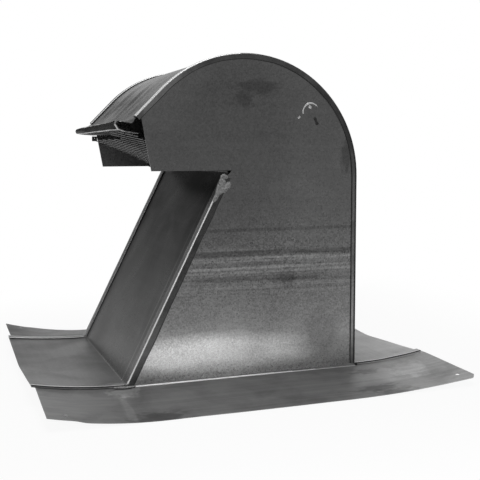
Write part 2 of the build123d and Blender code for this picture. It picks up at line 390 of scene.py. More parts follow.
class SheetMetal:
    """One formed sheet: patches of its middle surface, joined at their edges and thickened."""

    def __init__(self, name: str, thickness: float) -> None:
        """Start a sheet.

        Args:
            name: Name of the piece.
            thickness: Thickness in millimetres.
        """
        self.name = name
        self.thickness = thickness
        self.corners: list[np.ndarray] = []
        self.faces: list[tuple[int, ...]] = []
        self.finishes: list[int] = []

    def patch(self, grid: np.ndarray, finish: int | np.ndarray) -> None:
        """Add a grid of points as a patch of four-sided faces.

        Args:
            grid: Points in rows and columns, in millimetres.
            finish: Number of the material, or one for each face.
        """
        rows, columns = grid.shape[:2]
        start = sum(len(c) for c in self.corners)
        self.corners.append(grid.reshape(-1, 3))
        finishes = np.broadcast_to(finish, (rows - 1, columns - 1))
        for row in range(rows - 1):
            for column in range(columns - 1):
                first = start + row * columns + column
                self.faces.append((first, first + 1, first + columns + 1, first + columns))
                self.finishes.append(int(finishes[row, column]))

    def build(
        self, materials: list[bpy.types.Material], holes: tuple[bpy.types.Object, ...] = ()
    ) -> bpy.types.Object:
        """Join the patches, thicken them and cut the holes.

        Args:
            materials: The materials, in the order of the patches' numbers.
            holes: Solids to cut away, which are deleted afterwards.

        Returns:
            The finished piece.
        """
        mesh = bpy.data.meshes.new(self.name)
        mesh.from_pydata((np.concatenate(self.corners) * MM).tolist(), [], self.faces)
        mesh.polygons.foreach_set("material_index", self.finishes)
        work = bmesh.new()
        work.from_mesh(mesh)
        bmesh.ops.remove_doubles(work, verts=work.verts, dist=0.01 * MM)
        bmesh.ops.recalc_face_normals(work, faces=work.faces)
        work.to_mesh(mesh)
        work.free()
        piece = bpy.data.objects.new(self.name, mesh)
        bpy.context.scene.collection.objects.link(piece)
        for material in materials:
            mesh.materials.append(material)
        thicken = piece.modifiers.new("thickness", "SOLIDIFY")
        thicken.thickness = self.thickness * MM
        thicken.offset = 0.0
        thicken.use_even_offset = True
        for hole in holes:
            cut = piece.modifiers.new("hole", "BOOLEAN")
            cut.object = hole
            cut.operation = "DIFFERENCE"
            cut.solver = "EXACT"
        bake_shape(piece)
        for hole in holes:
            bpy.data.objects.remove(hole)
        return piece


def bake_shape(piece: bpy.types.Object) -> None:
    """Apply a piece's modifiers and shade it smooth, with its real edges kept sharp.

    Args:
        piece: The piece, which gets a new mesh.
    """
    bpy.context.view_layer.update()
    shaped = piece.evaluated_get(bpy.context.evaluated_depsgraph_get())
    mesh = bpy.data.meshes.new_from_object(shaped)
    piece.modifiers.clear()
    piece.data = mesh
    mesh.polygons.foreach_set("use_smooth", [True] * len(mesh.polygons))
    mesh.set_sharp_from_angle(angle=SHARP_ANGLE)


@dataclass(frozen=True)
class Bead:
    """Bead laid along a line on a sheet: sealant, solder or dirt, or a bright or dark mark painted as a
    highlight or a shadow.

    Attributes:
        line: Points along its middle, in millimetres.
        widths: Half width at each point.
        height: Half height, square to the sheet.
        up: Direction square to the sheet.
        rough: How uneven it is, as a share of its width.
        seed: Number that picks its lumps.
    """

    line: tuple[tuple[float, float, float], ...]
    widths: tuple[float, ...]
    height: float
    up: tuple[float, float, float] = (0.0, -1.0, 0.0)
    rough: float = 0.2
    seed: int = 1

    def add_to(self, points: list, faces: list, stations: int = 22, around: int = 12) -> None:
        """Add the bead's points and faces to lists.

        Args:
            points: Points gathered so far.
            faces: Faces gathered so far.
            stations: Rings along the bead.
            around: Points in a ring.
        """
        line, up = np.array(self.line), np.array(self.up)
        run = run_along(line)
        even = np.linspace(0.0, run[-1], stations)
        middle = even_steps(line, stations)
        width = np.interp(even, run, np.array(self.widths))
        close = np.minimum(even, run[-1] - even) / max(width.max(), 0.1)
        round_end = np.sqrt(np.clip(1 - (1 - np.clip(close, 0.0, 1.0)) ** 2, 0.004, 1.0))
        along = np.gradient(middle, axis=0)
        along = along / np.linalg.norm(along, axis=1)[:, None]
        aside = np.cross(up, along)
        angles = np.linspace(0.0, 2 * math.pi, around, endpoint=False)
        bump = 1 + self.rough * ripple(even[:, None], angles[None, :] * 4.0, 7.0, self.seed)
        reach = (width * round_end)[:, None] * bump * np.cos(angles)[None, :]
        lift = (self.height * round_end)[:, None] * bump * np.sin(angles)[None, :]
        rings = middle[:, None] + reach[..., None] * aside[:, None] + lift[..., None] * up
        base = len(points)
        points.extend(rings.reshape(-1, 3))
        for ring in range(stations - 1):
            for k in range(around):
                first, second = base + ring * around + k, base + ring * around + (k + 1) % around
                faces.append((first, second, second + around, first + around))
        faces.append(tuple(base + k for k in range(around)))
        faces.append(tuple(base + (stations - 1) * around + k for k in range(around)))


def lay_beads(name: str, beads: list[Bead], material: bpy.types.Material) -> bpy.types.Object:
    """Make one piece of several beads.

    Args:
        name: Name of the piece.
        beads: The beads.
        material: Their material.

    Returns:
        The new piece, shaded smooth.
    """
    points: list = []
    faces: list = []
    for bead in beads:
        bead.add_to(points, faces)
    piece = solid(name, points, faces, material)
    piece.data.polygons.foreach_set("use_smooth", [True] * len(piece.data.polygons))
    return piece


def solid(name: str, points: list, faces: list, material: bpy.types.Material) -> bpy.types.Object:
    """Make a closed piece from its points in millimetres and its faces.

    Args:
        name: Name of the piece.
        points: Its corners.
        faces: Its faces, as places in the list of corners.
        material: Its material.

    Returns:
        The new piece.
    """
    mesh = bpy.data.meshes.new(name)
    mesh.from_pydata((np.asarray(points) * MM).tolist(), [], faces)
    work = bmesh.new()
    work.from_mesh(mesh)
    bmesh.ops.recalc_face_normals(work, faces=work.faces)
    work.to_mesh(mesh)
    work.free()
    mesh.materials.append(material)
    piece = bpy.data.objects.new(name, mesh)
    bpy.context.scene.collection.objects.link(piece)
    return piece


def place_on_vent(piece: bpy.types.Object, slot: str, *nodes: str) -> None:
    """Let a piece ride on the vent and report it.

    Args:
        piece: The piece.
        slot: Its material slot, which is not used.
        nodes: The nodes that it replaces.
    """
    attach(piece, "root")
    for node in nodes:
        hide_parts(node)
    log.info("%s: %d faces", piece.name, len(piece.data.polygons))


class Graph:
    """Nodes of one material, world or group, added and joined by short calls."""

    def __init__(self, tree: bpy.types.NodeTree) -> None:
        """Start on a node tree."""
        self.tree = tree

    def link(self, value: bpy.types.NodeSocket, socket: bpy.types.NodeSocket) -> None:
        """Join an output to an input."""
        self.tree.links.new(value, socket)

    def add(self, kind: str, inputs: dict | None = None, **settings: object) -> bpy.types.Node:
        """Add a node, set its properties and set or join its inputs.

        Args:
            kind: The node's type name.
            inputs: Values or output sockets, by the input's name or place.
            settings: Properties of the node.

        Returns:
            The new node.
        """
        node = self.tree.nodes.new(kind)
        for name, value in settings.items():
            setattr(node, name, value)
        for key, value in (inputs or {}).items():
            if isinstance(value, bpy.types.NodeSocket):
                self.link(value, node.inputs[key])
            else:
                node.inputs[key].default_value = value
        return node

    def math(
        self, operation: str, first: object, second: object = 0.0, third: object = 0.0
    ) -> bpy.types.NodeSocket:
        """Work out one number from up to three others."""
        return self.add("ShaderNodeMath", {0: first, 1: second, 2: third}, operation=operation).outputs[0]

    def vector(self, operation: str, first: object, second: object) -> bpy.types.NodeSocket:
        """Work out one vector from two others."""
        return self.add("ShaderNodeVectorMath", {0: first, 1: second}, operation=operation).outputs[0]

    def vary(self, base: object, tone: object, strength: object) -> bpy.types.NodeSocket:
        """Add to a base what a tone lies above or below one half, times a strength."""
        return self.math("MULTIPLY_ADD", self.math("SUBTRACT", tone, 0.5), strength, base)

    def clamp(self, value: object) -> bpy.types.NodeSocket:
        """Keep a value between 0 and 1."""
        return self.add("ShaderNodeClamp", {0: value}).outputs[0]

    def remap(
        self, value: object, low: float, high: float, to_low: float = 0.0, to_high: float = 1.0
    ) -> bpy.types.NodeSocket:
        """Map a range of a value smoothly onto another range, held at its ends."""
        inputs = {"Value": value, "From Min": low, "From Max": high, "To Min": to_low, "To Max": to_high}
        return self.add("ShaderNodeMapRange", inputs, interpolation_type="SMOOTHSTEP").outputs[0]

    def noise(
        self, place: object, scale: object, detail: float, roughness: float = 0.5, distortion: float = 0.0
    ) -> bpy.types.NodeSocket:
        """Cloudy noise over a surface, about 0.5."""
        grain = {"Detail": detail, "Roughness": roughness, "Distortion": distortion}
        return self.add("ShaderNodeTexNoise", {"Vector": place, "Scale": scale, **grain}).outputs[0]

    def grey(self, value: object) -> bpy.types.NodeSocket:
        """Make a grey colour from a value."""
        return self.add("ShaderNodeCombineColor", {0: value, 1: value, 2: value}).outputs[0]

    def group(self, tree: bpy.types.NodeTree, place: object, **values: object) -> bpy.types.NodeSocket:
        """Place a shared node group at a position, with its own values."""
        return self.add("ShaderNodeGroup", {"Position": place, **values}, node_tree=tree).outputs[0]


def new_group(
    name: str, inputs: dict[str, float | tuple], output: str
) -> tuple[Graph, dict, bpy.types.NodeSocket]:
    """Start a shader node group with named sockets.

    Args:
        name: Name of the group.
        inputs: Names and default values of its inputs, besides a Position vector.
        output: Name of its one output.

    Returns:
        The group's graph, its input sockets by name and the socket to join its result to.
    """
    tree = bpy.data.node_groups.new(name, "ShaderNodeTree")
    tree.interface.new_socket("Position", in_out="INPUT", socket_type="NodeSocketVector")
    for key, value in inputs.items():
        kind = "NodeSocketVector" if isinstance(value, tuple) else "NodeSocketFloat"
        tree.interface.new_socket(key, in_out="INPUT", socket_type=kind).default_value = value
    tree.interface.new_socket(output, in_out="OUTPUT", socket_type="NodeSocketFloat")
    graph = Graph(tree)
    given = graph.add("NodeGroupInput")
    result = graph.add("NodeGroupOutput")
    return graph, given.outputs, result.inputs[output]


def new_material(name: str) -> tuple[bpy.types.Material, Graph, bpy.types.Node]:
    """Start a material on its Principled shader.

    Args:
        name: Name of the material.

    Returns:
        The material, its graph and its shader.
    """
    material = bpy.data.materials.new(name)
    material.use_nodes = True
    shader = next(n for n in material.node_tree.nodes if n.type == "BSDF_PRINCIPLED")
    return material, Graph(material.node_tree), shader


class SurfaceEffects:
    """Node groups that the finishes share."""

    def __init__(self) -> None:
        """Build each group once."""
        self.spangle = self.build_spangle()
        self.streaks = self.build_streaks()
        self.smudges = self.build_smudges()
        self.bands = self.build_bands()
        self.stain_or_light = self.build_stain_or_painted_light()

    @staticmethod
    def build_spangle() -> bpy.types.NodeTree:
        """Build the fine crystals of the zinc.

        Returns:
            A group that gives each crystal a tone about 0.5.
        """
        graph, given, result = new_group("zinc_spangle", {"Grain": 0.002}, "Tone")
        scale = graph.math("DIVIDE", 1.0, given["Grain"])
        cells = graph.add("ShaderNodeTexVoronoi", {"Vector": given["Position"], "Scale": scale})
        crystal = graph.add("ShaderNodeSeparateColor", {0: cells.outputs["Color"]}).outputs[0]
        fine = graph.noise(given["Position"], graph.math("MULTIPLY", scale, 1.3), 2.0)
        tone = graph.math("MULTIPLY_ADD", crystal, 0.5, graph.vary(0.25, fine, 1.8))
        graph.link(graph.clamp(tone), result)
        return graph.tree

    @staticmethod
    def build_streaks() -> bpy.types.NodeTree:
        """Build fine lines along whichever axis Press makes small.

        Returns:
            A group that gives a tone about 0.5.
        """
        inputs = {"Spacing": 0.006, "Press": (1.0, 1.0, 1.0)}
        graph, given, result = new_group("roll_streaks", inputs, "Tone")
        scale = graph.math("DIVIDE", 1.0, given["Spacing"])
        pressed = graph.vector("MULTIPLY", given["Position"], given["Press"])
        graph.link(graph.noise(pressed, scale, 4.0, 0.7), result)
        return graph.tree

    @staticmethod
    def build_smudges() -> bpy.types.NodeTree:
        """Build soft smudges, larger where Cover is higher.

        Returns:
            A group that gives a mask from 0 to 1.
        """
        graph, given, result = new_group("handling_smudges", {"Size": 0.08, "Cover": 0.5}, "Mask")
        scale = graph.math("DIVIDE", 1.0, given["Size"])
        cloud = graph.noise(given["Position"], scale, 5.0, 0.55, 0.4)
        above = graph.math("SUBTRACT", cloud, graph.math("SUBTRACT", 0.85, given["Cover"]))
        graph.link(graph.clamp(graph.math("MULTIPLY", above, 2.8)), result)
        return graph.tree

    @staticmethod
    def build_bands() -> bpy.types.NodeTree:
        """Build the level bands that the rolls left across the sheet, between two heights.

        Returns:
            A group that gives a tone about 0.5.
        """
        inputs = {"Low": 0.09, "High": 0.15, "Width": 0.004}
        graph, given, result = new_group("roll_bands", inputs, "Tone")
        split = graph.add("ShaderNodeSeparateXYZ", {0: given["Position"]})
        along, up = split.outputs[0], split.outputs[2]
        height = graph.math("MULTIPLY_ADD", along, 0.012, up)
        line = graph.add("ShaderNodeCombineXYZ", {0: graph.math("MULTIPLY", along, 0.02), 2: height})
        wide = graph.noise(line.outputs[0], graph.math("DIVIDE", 1.0, given["Width"]), 3.0, 0.75)
        above = graph.math("MULTIPLY", graph.math("SUBTRACT", height, given["Low"]), 80.0)
        below = graph.math("MULTIPLY", graph.math("SUBTRACT", given["High"], height), 200.0)
        window = graph.math("MULTIPLY", graph.clamp(above), graph.clamp(below))
        graph.link(graph.vary(0.5, wide, window), result)
        return graph.tree

    @staticmethod
    def build_stain_or_painted_light() -> bpy.types.NodeTree:
        """Build one ragged patch round a centre, for a mark or for painted light or shade.

        Returns:
            A group that gives a mask from 0 to 1.
        """
        inputs = {"Centre": (0.0, 0.0, 0.0), "Reach": (0.02, 0.02, 0.02), "Ragged": 0.6}
        graph, given, result = new_group("stain_or_painted_light", inputs, "Mask")
        away = graph.vector("SUBTRACT", given["Position"], given["Centre"])
        scaled = graph.vector("DIVIDE", away, given["Reach"])
        length = graph.add("ShaderNodeVectorMath", {0: scaled}, operation="LENGTH").outputs["Value"]
        torn = graph.noise(scaled, 1.6, 4.0, 0.6)
        edge = graph.vary(length, torn, graph.math("MULTIPLY", given["Ragged"], 3.0))
        mask = graph.math("MULTIPLY", graph.math("SUBTRACT", 1.0, edge), 2.2)
        graph.link(graph.clamp(mask), result)
        return graph.tree


@dataclass(frozen=True)
class StainOrPaintedLight:
    """One ragged patch of a finish: a mark of dirt or wear, or painted light or shade.

    Attributes:
        centre: Its centre, in metres.
        reach: How far it reaches along each axis.
        dark: How much it darkens, or lightens if below 0.
        ragged: How torn its edge is.
    """

    centre: tuple[float, float, float]
    reach: tuple[float, float, float]
    dark: float
    ragged: float = 0.6

    @classmethod
    def on_cheek(cls, place: tuple, reach: tuple, dark: float, ragged: float = 0.6) -> "StainOrPaintedLight":
        """Patch on the near cheek, with its place and reach along X and Z."""
        return cls((place[0], CHEEK_Y, place[1]), (reach[0], STAIN_DEPTH, reach[1]), dark, ragged)

    @classmethod
    def on_flange(cls, place: tuple, reach: tuple, dark: float, ragged: float) -> "StainOrPaintedLight":
        """Patch on the flange, with its place and reach along X and Y."""
        return cls((*place, FLANGE_Z), (*reach, STAIN_DEPTH), dark, ragged)


@dataclass(frozen=True)
class ZincFinish:
    """Weathered galvanised sheet of one surface.

    Attributes:
        name: Name of the material.
        tone: Grey of the clean zinc.
        metal: Share of the surface that is bare metal, the rest being its dull white rust.
        roughness: Middle roughness.
        edge_tint: How bright the metal stays at a grazing look.
        shine: Strength of the reflection where the surface isn't bare metal.
        spangle: Share of the tone that the crystals vary.
        spangle_high: How much of that share is left at the top of the vent.
        spangle_levels: Heights between which it changes.
        grain: Usual size of a crystal in metres.
        smudge: Share of the tone that the smudges take away.
        smudge_size: Usual size of a smudge in metres.
        smudge_cover: How much of the sheet they cover.
        streak: Share of the tone that the streaks vary.
        streak_spacing: Usual space between streaks in metres.
        press: Way that the streaks run.
        bands: Share of the tone that the level bands vary.
        rise: Tone at a low and a high level, and those two levels, where the tone changes with height.
        unevenness: Height of the sheet's fine waves, in metres.
        stains_and_painted_light: Marks of dirt, and patches of painted light and shade, that lie at one
            place.
    """

    name: str
    tone: float = 0.3
    metal: float = 1.0
    roughness: float = 0.3
    edge_tint: float = 1.0
    shine: float = 0.5
    spangle: float = 0.3
    spangle_high: float = 1.0
    spangle_levels: tuple[float, float] = (0.14, 0.2)
    grain: float = 0.0021
    smudge: float = 0.25
    smudge_size: float = 0.09
    smudge_cover: float = 0.42
    streak: float = 0.2
    streak_spacing: float = 0.007
    press: Stretch = Stretch.ALONG_X
    bands: float = 0.0
    rise: tuple[float, float, float, float] = (1.0, 1.0, 0.0, 0.3)
    unevenness: float = 0.0003
    stains_and_painted_light: tuple[StainOrPaintedLight, ...] = ()

    def build(self, effects: SurfaceEffects) -> bpy.types.Material:
        """Make the material.

        Args:
            effects: The shared node groups.

        Returns:
            The finished material.
        """
        material, graph, shader = new_material(self.name)
        place = graph.add("ShaderNodeTexCoord").outputs["Object"]
        height = graph.add("ShaderNodeSeparateXYZ", {0: place}).outputs[2]
        spangle = graph.group(effects.spangle, place, Grain=self.grain)
        streaks = graph.group(effects.streaks, place, Spacing=self.streak_spacing, Press=self.press.value)
        smudges = graph.group(effects.smudges, place, Size=self.smudge_size, Cover=self.smudge_cover)
        low_tone, high_tone, low, high = self.rise
        share = graph.remap(height, low, high, low_tone, high_tone)
        low, high = self.spangle_levels
        contrast = graph.remap(height, low, high, self.spangle, self.spangle * self.spangle_high)
        share = graph.vary(share, spangle, contrast)
        share = graph.vary(share, streaks, self.streak)
        share = graph.math("MULTIPLY_ADD", smudges, -self.smudge, share)
        if self.bands:
            share = graph.vary(share, graph.group(effects.bands, place), self.bands)
        for stain_or_light in self.stains_and_painted_light:
            values = {"Centre": stain_or_light.centre, "Reach": stain_or_light.reach, "Ragged": stain_or_light.ragged}
            mask = graph.group(effects.stain_or_light, place, **values)
            share = graph.math("MULTIPLY", share, graph.math("MULTIPLY_ADD", mask, -stain_or_light.dark, 1.0))
        value = graph.clamp(graph.math("MULTIPLY", share, self.tone))
        graph.link(graph.grey(value), shader.inputs["Base Color"])
        rough = graph.math("MULTIPLY_ADD", smudges, 0.1, self.roughness)
        graph.link(graph.vary(rough, spangle, 0.12), shader.inputs["Roughness"])
        lumps = graph.math("MULTIPLY_ADD", spangle, 0.02, graph.noise(place, 22.0, 2.0))
        bump = graph.add("ShaderNodeBump", {"Height": lumps, "Distance": self.unevenness, "Strength": 1.0})
        graph.link(bump.outputs[0], shader.inputs["Normal"])
        shader.inputs["Metallic"].default_value = self.metal
        shader.inputs["Specular IOR Level"].default_value = self.shine
        shader.inputs["Specular Tint"].default_value = (self.edge_tint, self.edge_tint, self.edge_tint, 1.0)
        return material


@dataclass(frozen=True)
class SealantFinish:
    """Matt pale sealant, smeared by hand."""

    name: str = "sealant"
    tone: float = 0.37
    roughness: float = 0.65
    smudge: float = 0.35
    grain: float = 0.8

    def build(self, effects: SurfaceEffects) -> bpy.types.Material:
        """Make the material.

        Args:
            effects: The shared node groups.

        Returns:
            The finished material.
        """
        material, graph, shader = new_material(self.name)
        place = graph.add("ShaderNodeTexCoord").outputs["Object"]
        smudges = graph.group(effects.smudges, place, Size=0.008, Cover=0.5)
        grain = graph.group(effects.spangle, place, Grain=0.0016)
        share = graph.vary(graph.math("MULTIPLY_ADD", smudges, -self.smudge, 1.0), grain, self.grain)
        graph.link(graph.grey(graph.math("MULTIPLY", share, self.tone)), shader.inputs["Base Color"])
        bump = graph.add("ShaderNodeBump", {"Height": grain, "Distance": 0.0004})
        graph.link(bump.outputs[0], shader.inputs["Normal"])
        shader.inputs["Roughness"].default_value = self.roughness
        return material


@dataclass
class LockSeam:
    """Pocket folded along the edge of a heel or throat sheet, with its lip hammered over the cheek.

    Attributes:
        form: The vent's sizes.
        lip: How far the lip reaches down the cheek.
        lip_waves: How far the lip's edge wanders.
        seed: Number that picks the unevenness.
        corner_radius: Radius of the bend into the lip.
        lip_start: Inset from which the lip is uneven.
        settle: How far the top layer is pressed down at the least.
        settle_waves: How much that changes along the seam.
        beat_height: How far the hammered lip stands off the cheek.
    """

    form: VentForm
    lip: float
    lip_waves: float
    seed: int
    corner_radius: float = 1.1
    lip_start: float = 1.6
    settle: float = 0.1
    settle_waves: float = 0.12
    beat_height: float = 0.12

    @staticmethod
    def finishes(
        gap: WrapFinish = WrapFinish.DIRT_AND_PAINTED_SHADE,
        inner: WrapFinish = WrapFinish.WEAR_AND_PAINTED_HIGHLIGHT,
        corner: WrapFinish = WrapFinish.FOLD,
    ) -> np.ndarray:
        """Finish of each face across the fold.

        Args:
            gap: Finish where the fold meets the main sheet.
            inner: Finish of the bend into the top layer.
            corner: Finish of the bend into the lip.

        Returns:
            One row of numbers, from the main sheet to the lip's edge.
        """
        row = np.full(SeamFace.END, WrapFinish.FOLD, int)
        # By default the gap takes the dark finish: painted shade where the fold meets the main sheet.
        row[SeamFace.GAP : SeamFace.INNER] = gap
        row[SeamFace.INNER : SeamFace.TOP] = inner
        row[SeamFace.CORNER : SeamFace.LIP] = corner
        row[SeamFace.LIP : SeamFace.RIM] = WrapFinish.LIP
        # The lip's raw edge takes the dark finish: a painted shadow line along it on the cheek.
        row[SeamFace.RIM] = WrapFinish.DIRT_AND_PAINTED_SHADE
        return row[None]

    def section(self) -> np.ndarray:
        """Middle line of the fold, from the main sheet to the lip's edge.

        Returns:
            Its points, as distances from the vent's middle plane and insets from the skin.
        """
        form, half = self.form, self.form.sheet / 2
        edge, inner = form.half_duct, form.fold_y - form.sheet
        lip_y = form.half_body + form.outer_mid
        points = [
            (edge - form.seam_inset, form.main_mid),
            (edge, form.main_mid),
            (edge, form.fold_mid),
            (inner, form.fold_mid),
            (inner, form.outer_mid),
            (lip_y, form.outer_mid),
            (lip_y, self.lip),
        ]
        radii = (half, half, form.sheet, form.sheet, self.corner_radius)
        return bent(np.array(points), radii, arc_steps=4, span_steps=(1, 1, 3, 1, 5, 7))

    def grid(self, skin: np.ndarray, inwards: np.ndarray, side: Side) -> np.ndarray:
        """Sweep the section along a skin line.

        Args:
            skin: Points of the skin line as X and Z.
            inwards: Direction into the vent at each point.
            side: Side of the vent.

        Returns:
            A grid of points.
        """
        section = self.section()
        run = run_along(skin)[:, None]
        level = np.zeros_like(run)
        out = np.broadcast_to(section[:, 0], (len(skin), len(section)))
        inset = section[:, 1][None, :]
        on_lip = fade(inset, self.lip_start, self.lip) * (section[:, 0] > self.form.half_body)[None, :]
        on_top = 1 - fade(inset, self.form.outer_mid, self.form.fold_mid)
        settle = self.settle + self.settle_waves * (1 + ripple(run, level, 55.0, self.seed + 1))
        inset = inset + on_lip * self.lip_waves * ripple(run, level, 38.0, self.seed)
        inset = inset + on_top * settle
        beat = ripple(run, section[:, 1][None, :] * 6.0, 24.0, self.seed + 2)
        out = out + on_lip * self.beat_height * (1 + beat) * fade(run, 0.0, 4.0)
        x = skin[:, :1] + inwards[:, :1] * inset
        z = skin[:, 1:] + inwards[:, 1:] * inset
        return np.stack(np.broadcast_arrays(x, side.value * out, z), -1)


@dataclass
class ApronLap:
    """The pocket's layers, pressed flat, along one lap of an apron."""

    form: VentForm
    side: Side
    end: ApronEnd
    spring: float = 0.35
    spring_length: float = 50.0

    @staticmethod
    def finishes() -> np.ndarray:
        """Finish of each face across the lap: bright edges, partly wear and partly painted highlight, and
        painted shade in the gaps under them.

        Returns:
            One row of numbers, from the apron to the edge of the top layer.
        """
        row = np.full(LapFace.END, WrapFinish.APRON, int)
        # Painted shade in the gap under the layers, and painted highlights on the bends and the top layer's
        # edge.
        row[LapFace.GAP : LapFace.INNER] = WrapFinish.DIRT_AND_PAINTED_SHADE
        row[LapFace.INNER : LapFace.TOP] = WrapFinish.WEAR_AND_PAINTED_HIGHLIGHT
        row[LapFace.EDGE] = WrapFinish.WEAR_AND_PAINTED_HIGHLIGHT
        row[LapFace.RIM] = WrapFinish.DIRT_AND_PAINTED_SHADE
        return row[None]

    def grid(self, x: np.ndarray) -> np.ndarray:
        """Sweep the layers along the lap.

        Args:
            x: Stations along the lap.

        Returns:
            A grid of points.
        """
        form, half = self.form, self.form.sheet / 2
        inner, outer = form.fold_y - half, form.half_duct + half
        low, middle, top = form.apron_mid + form.sheet * np.arange(3)
        layers = [(outer, low), (outer, middle), (inner, middle), (inner, top), (outer, top)]
        points = np.array([(form.half_duct, low)] + layers)
        section = bent(points, (half,) * 4, arc_steps=4, span_steps=(1, 1, 4, 1, 5))
        out, lift = section[:, 0][None, :], section[:, 1][None, :]
        y = self.side.value * out + np.zeros((len(x), 1))
        place = x[:, None] + np.zeros_like(y)
        level = form.apron_z(place, y, self.end) + form.wave(place, y)
        uneven = 1 + ripple(place, y, self.spring_length, 21 + self.end)
        return np.stack([place, y, level + lift + fade(lift, 0.5, 1.8) * self.spring * uneven], -1)


def sweep_across(
    form: VentForm, profile: Callable[[float], np.ndarray], wall: slice, columns: int
) -> np.ndarray:
    """Sweep the middle line of a heel or throat sheet from side to side.

    Args:
        form: The vent's sizes.
        profile: Gives the line at one place across.
        wall: Points of the line whose ends are folded into a lock seam.
        columns: How many lines to take.

    Returns:
        A grid whose rows run across the sheet.
    """
    strips = []
    for part in np.linspace(-1, 1, columns):
        line = profile(part * form.half_duct)
        edge = np.full(len(line), form.half_duct)
        edge[wall] -= form.seam_inset
        strips.append(np.stack([line[:, 0], part * edge, line[:, 1]], -1))
    return np.stack(strips, 1)


@dataclass
class HeelSheet:
    """Rear apron, back, arc, hood and front hem in one sheet.

    Attributes:
        form: The vent's sizes.
        lip: How far the seams' lips reach down the cheeks.
        lip_waves: How far the lips' edges wander.
        lip_reach: How far the hem's nose stands out from the end of the hood.
        nose_drop: How far it hangs below that end.
        hem_bend: Radius of the bend at the end of the hood.
        return_length: Length of the hem's lower layer.
        lower_fall_near: Slope of that layer at the near side, in radians.
        lower_fall_far: Slope of it at the far side.
        sag_length: How far from the near side the hem hangs open.
        uneven: Height of the sheet's soft waves.
        crease: Depth of the creases at the end of the hood.
        columns: Lines across the sheet.
        apron_stations: Stations along the apron.
        bend_steps: Steps round the foot bend.
        apron_rows: Rows of faces that have the apron's finish.
        dark_stations: Stations of the seams, from the foot up, that take the dark finish.
        crown_station: Station from which the seams take a painted highlight, and on the far side painted
            shade, on the way to the mouth.
    """

    form: VentForm
    lip: float = 6.5
    lip_waves: float = 0.35
    lip_reach: float = 20.0
    nose_drop: float = 13.0
    hem_bend: float = 1.2
    return_length: float = 24.0
    lower_fall_near: float = 0.2
    lower_fall_far: float = 0.11
    sag_length: float = 46.0
    uneven: float = 0.5
    crease: float = 1.1
    columns: int = 37
    apron_stations: int = 16
    bend_steps: int = 6
    apron_rows: int = 17
    dark_stations: int = 28
    crown_station: int = 48

    def hem_controls(self, y: float) -> np.ndarray:
        """Corners of the hem's section at one place across the hood.

        Args:
            y: Place across the hood.

        Returns:
            Corners from the end of the hood to the edge of the hem's lower layer.
        """
        form = self.form
        nose = form.hood_point(0.0, form.hood_run) + np.array([-self.lip_reach, -self.nose_drop])
        open_end = np.array([(17.2, 4.7), (6.5, 6.8), (1.6, 7.5), (0.4, 4.4), (3.4, -0.4), (9.8, -2.7)])
        near = np.array([(17.2, 8.4), (8.0, 8.0), (1.6, 7.0), (0.3, 4.4), (1.4, 0.2), (9.8, -2.2)])
        far = np.array([(17.0, 8.0), (9.0, 6.3), (3.0, 4.2), (1.9, 2.0), (3.2, -0.6), (9.8, -1.6)])
        share = (y + form.half_duct) / (2 * form.half_duct)
        sagging = 1 - fade(y, -form.half_duct, -form.half_duct + self.sag_length)
        plain = near + (far - near) * share
        corners = nose + plain + (open_end - plain) * sagging
        fall = self.lower_fall_far + (self.lower_fall_near - self.lower_fall_far) * (1 - share)
        way = np.array([math.cos(fall), -math.sin(fall)])
        start = form.hood_point(form.main_mid, form.hood_run)
        bend = form.hood_point(form.main_mid, form.hood_run + 2 * self.hem_bend)
        return np.vstack([start, bend, corners, nose + way * self.return_length])

    def profile(self, y: float) -> np.ndarray:
        """Middle line of the main sheet at one place across.

        Args:
            y: Place across the sheet.

        Returns:
            Points from the rear edge to the hem, as X and Z.
        """
        form = self.form
        apron_x = np.linspace(form.back_x + form.rear_apron, form.back_x, self.apron_stations + 1)[:-1]
        apron = form.apron_line(apron_x, y, ApronEnd.REAR)
        foot = form.foot_z + form.apron_mid
        wall_x = form.back_x - form.main_mid
        corner = [(form.back_x, foot), (wall_x, foot), (wall_x, form.foot_z + form.seam_start)]
        bend = bent(np.array(corner), (form.bend_mid,), arc_steps=self.bend_steps)
        skin, inwards = form.heel_line()
        wall = skin + inwards * (form.main_mid + self.dent(skin, y)[:, None])
        radii = (self.hem_bend, 2.0, 4.0, 1.2, 1.5, 1.5, 3.0)
        hem = bent(self.hem_controls(y), radii, arc_steps=4, span_steps=(1, 1, 3, 2, 1, 2, 3, 4))
        away = hem[0, 0] - hem[:, 0]
        hem[:, 1] += 0.35 * ripple(np.full(len(hem), y), hem[:, 0] * 0.3, 60.0, 31) * fade(away, 0, 4)
        return np.concatenate([apron, bend[:-1], wall, hem[1:]])

    def dent(self, skin: np.ndarray, y: float) -> np.ndarray:
        """How far the sheet lies in from its true form, with the creases of the hood.

        Args:
            skin: Stations of the outer skin.
            y: Place across the sheet.

        Returns:
            A depth for each station.
        """
        inside = fade(self.form.fold_y - abs(y), 6.0, 45.0)
        run = run_along(skin)
        left, across = run[-1] - run, np.full_like(run, y)
        uneven = self.uneven * ripple(run, across, 120.0, 5) * fade(left, 0, 30) * fade(run, 0, 30)
        crease = self.crease * ripple(run * 0.35, across, 26.0, 8)
        crease = crease * fade(left, 2, 10) * (1 - fade(left, 40, 75))
        return inside * (uneven + crease)

    def wall_finishes(self, rows: int) -> np.ndarray:
        """Finish of each face from the foot bend to the hem: a painted highlight on the bend at the hood's
        end, and painted shade over the hem.

        Args:
            rows: Rows of faces.

        Returns:
            Their numbers in rows and columns.
        """
        wall = np.full((rows, self.columns - 1), WrapFinish.SHEET, int)
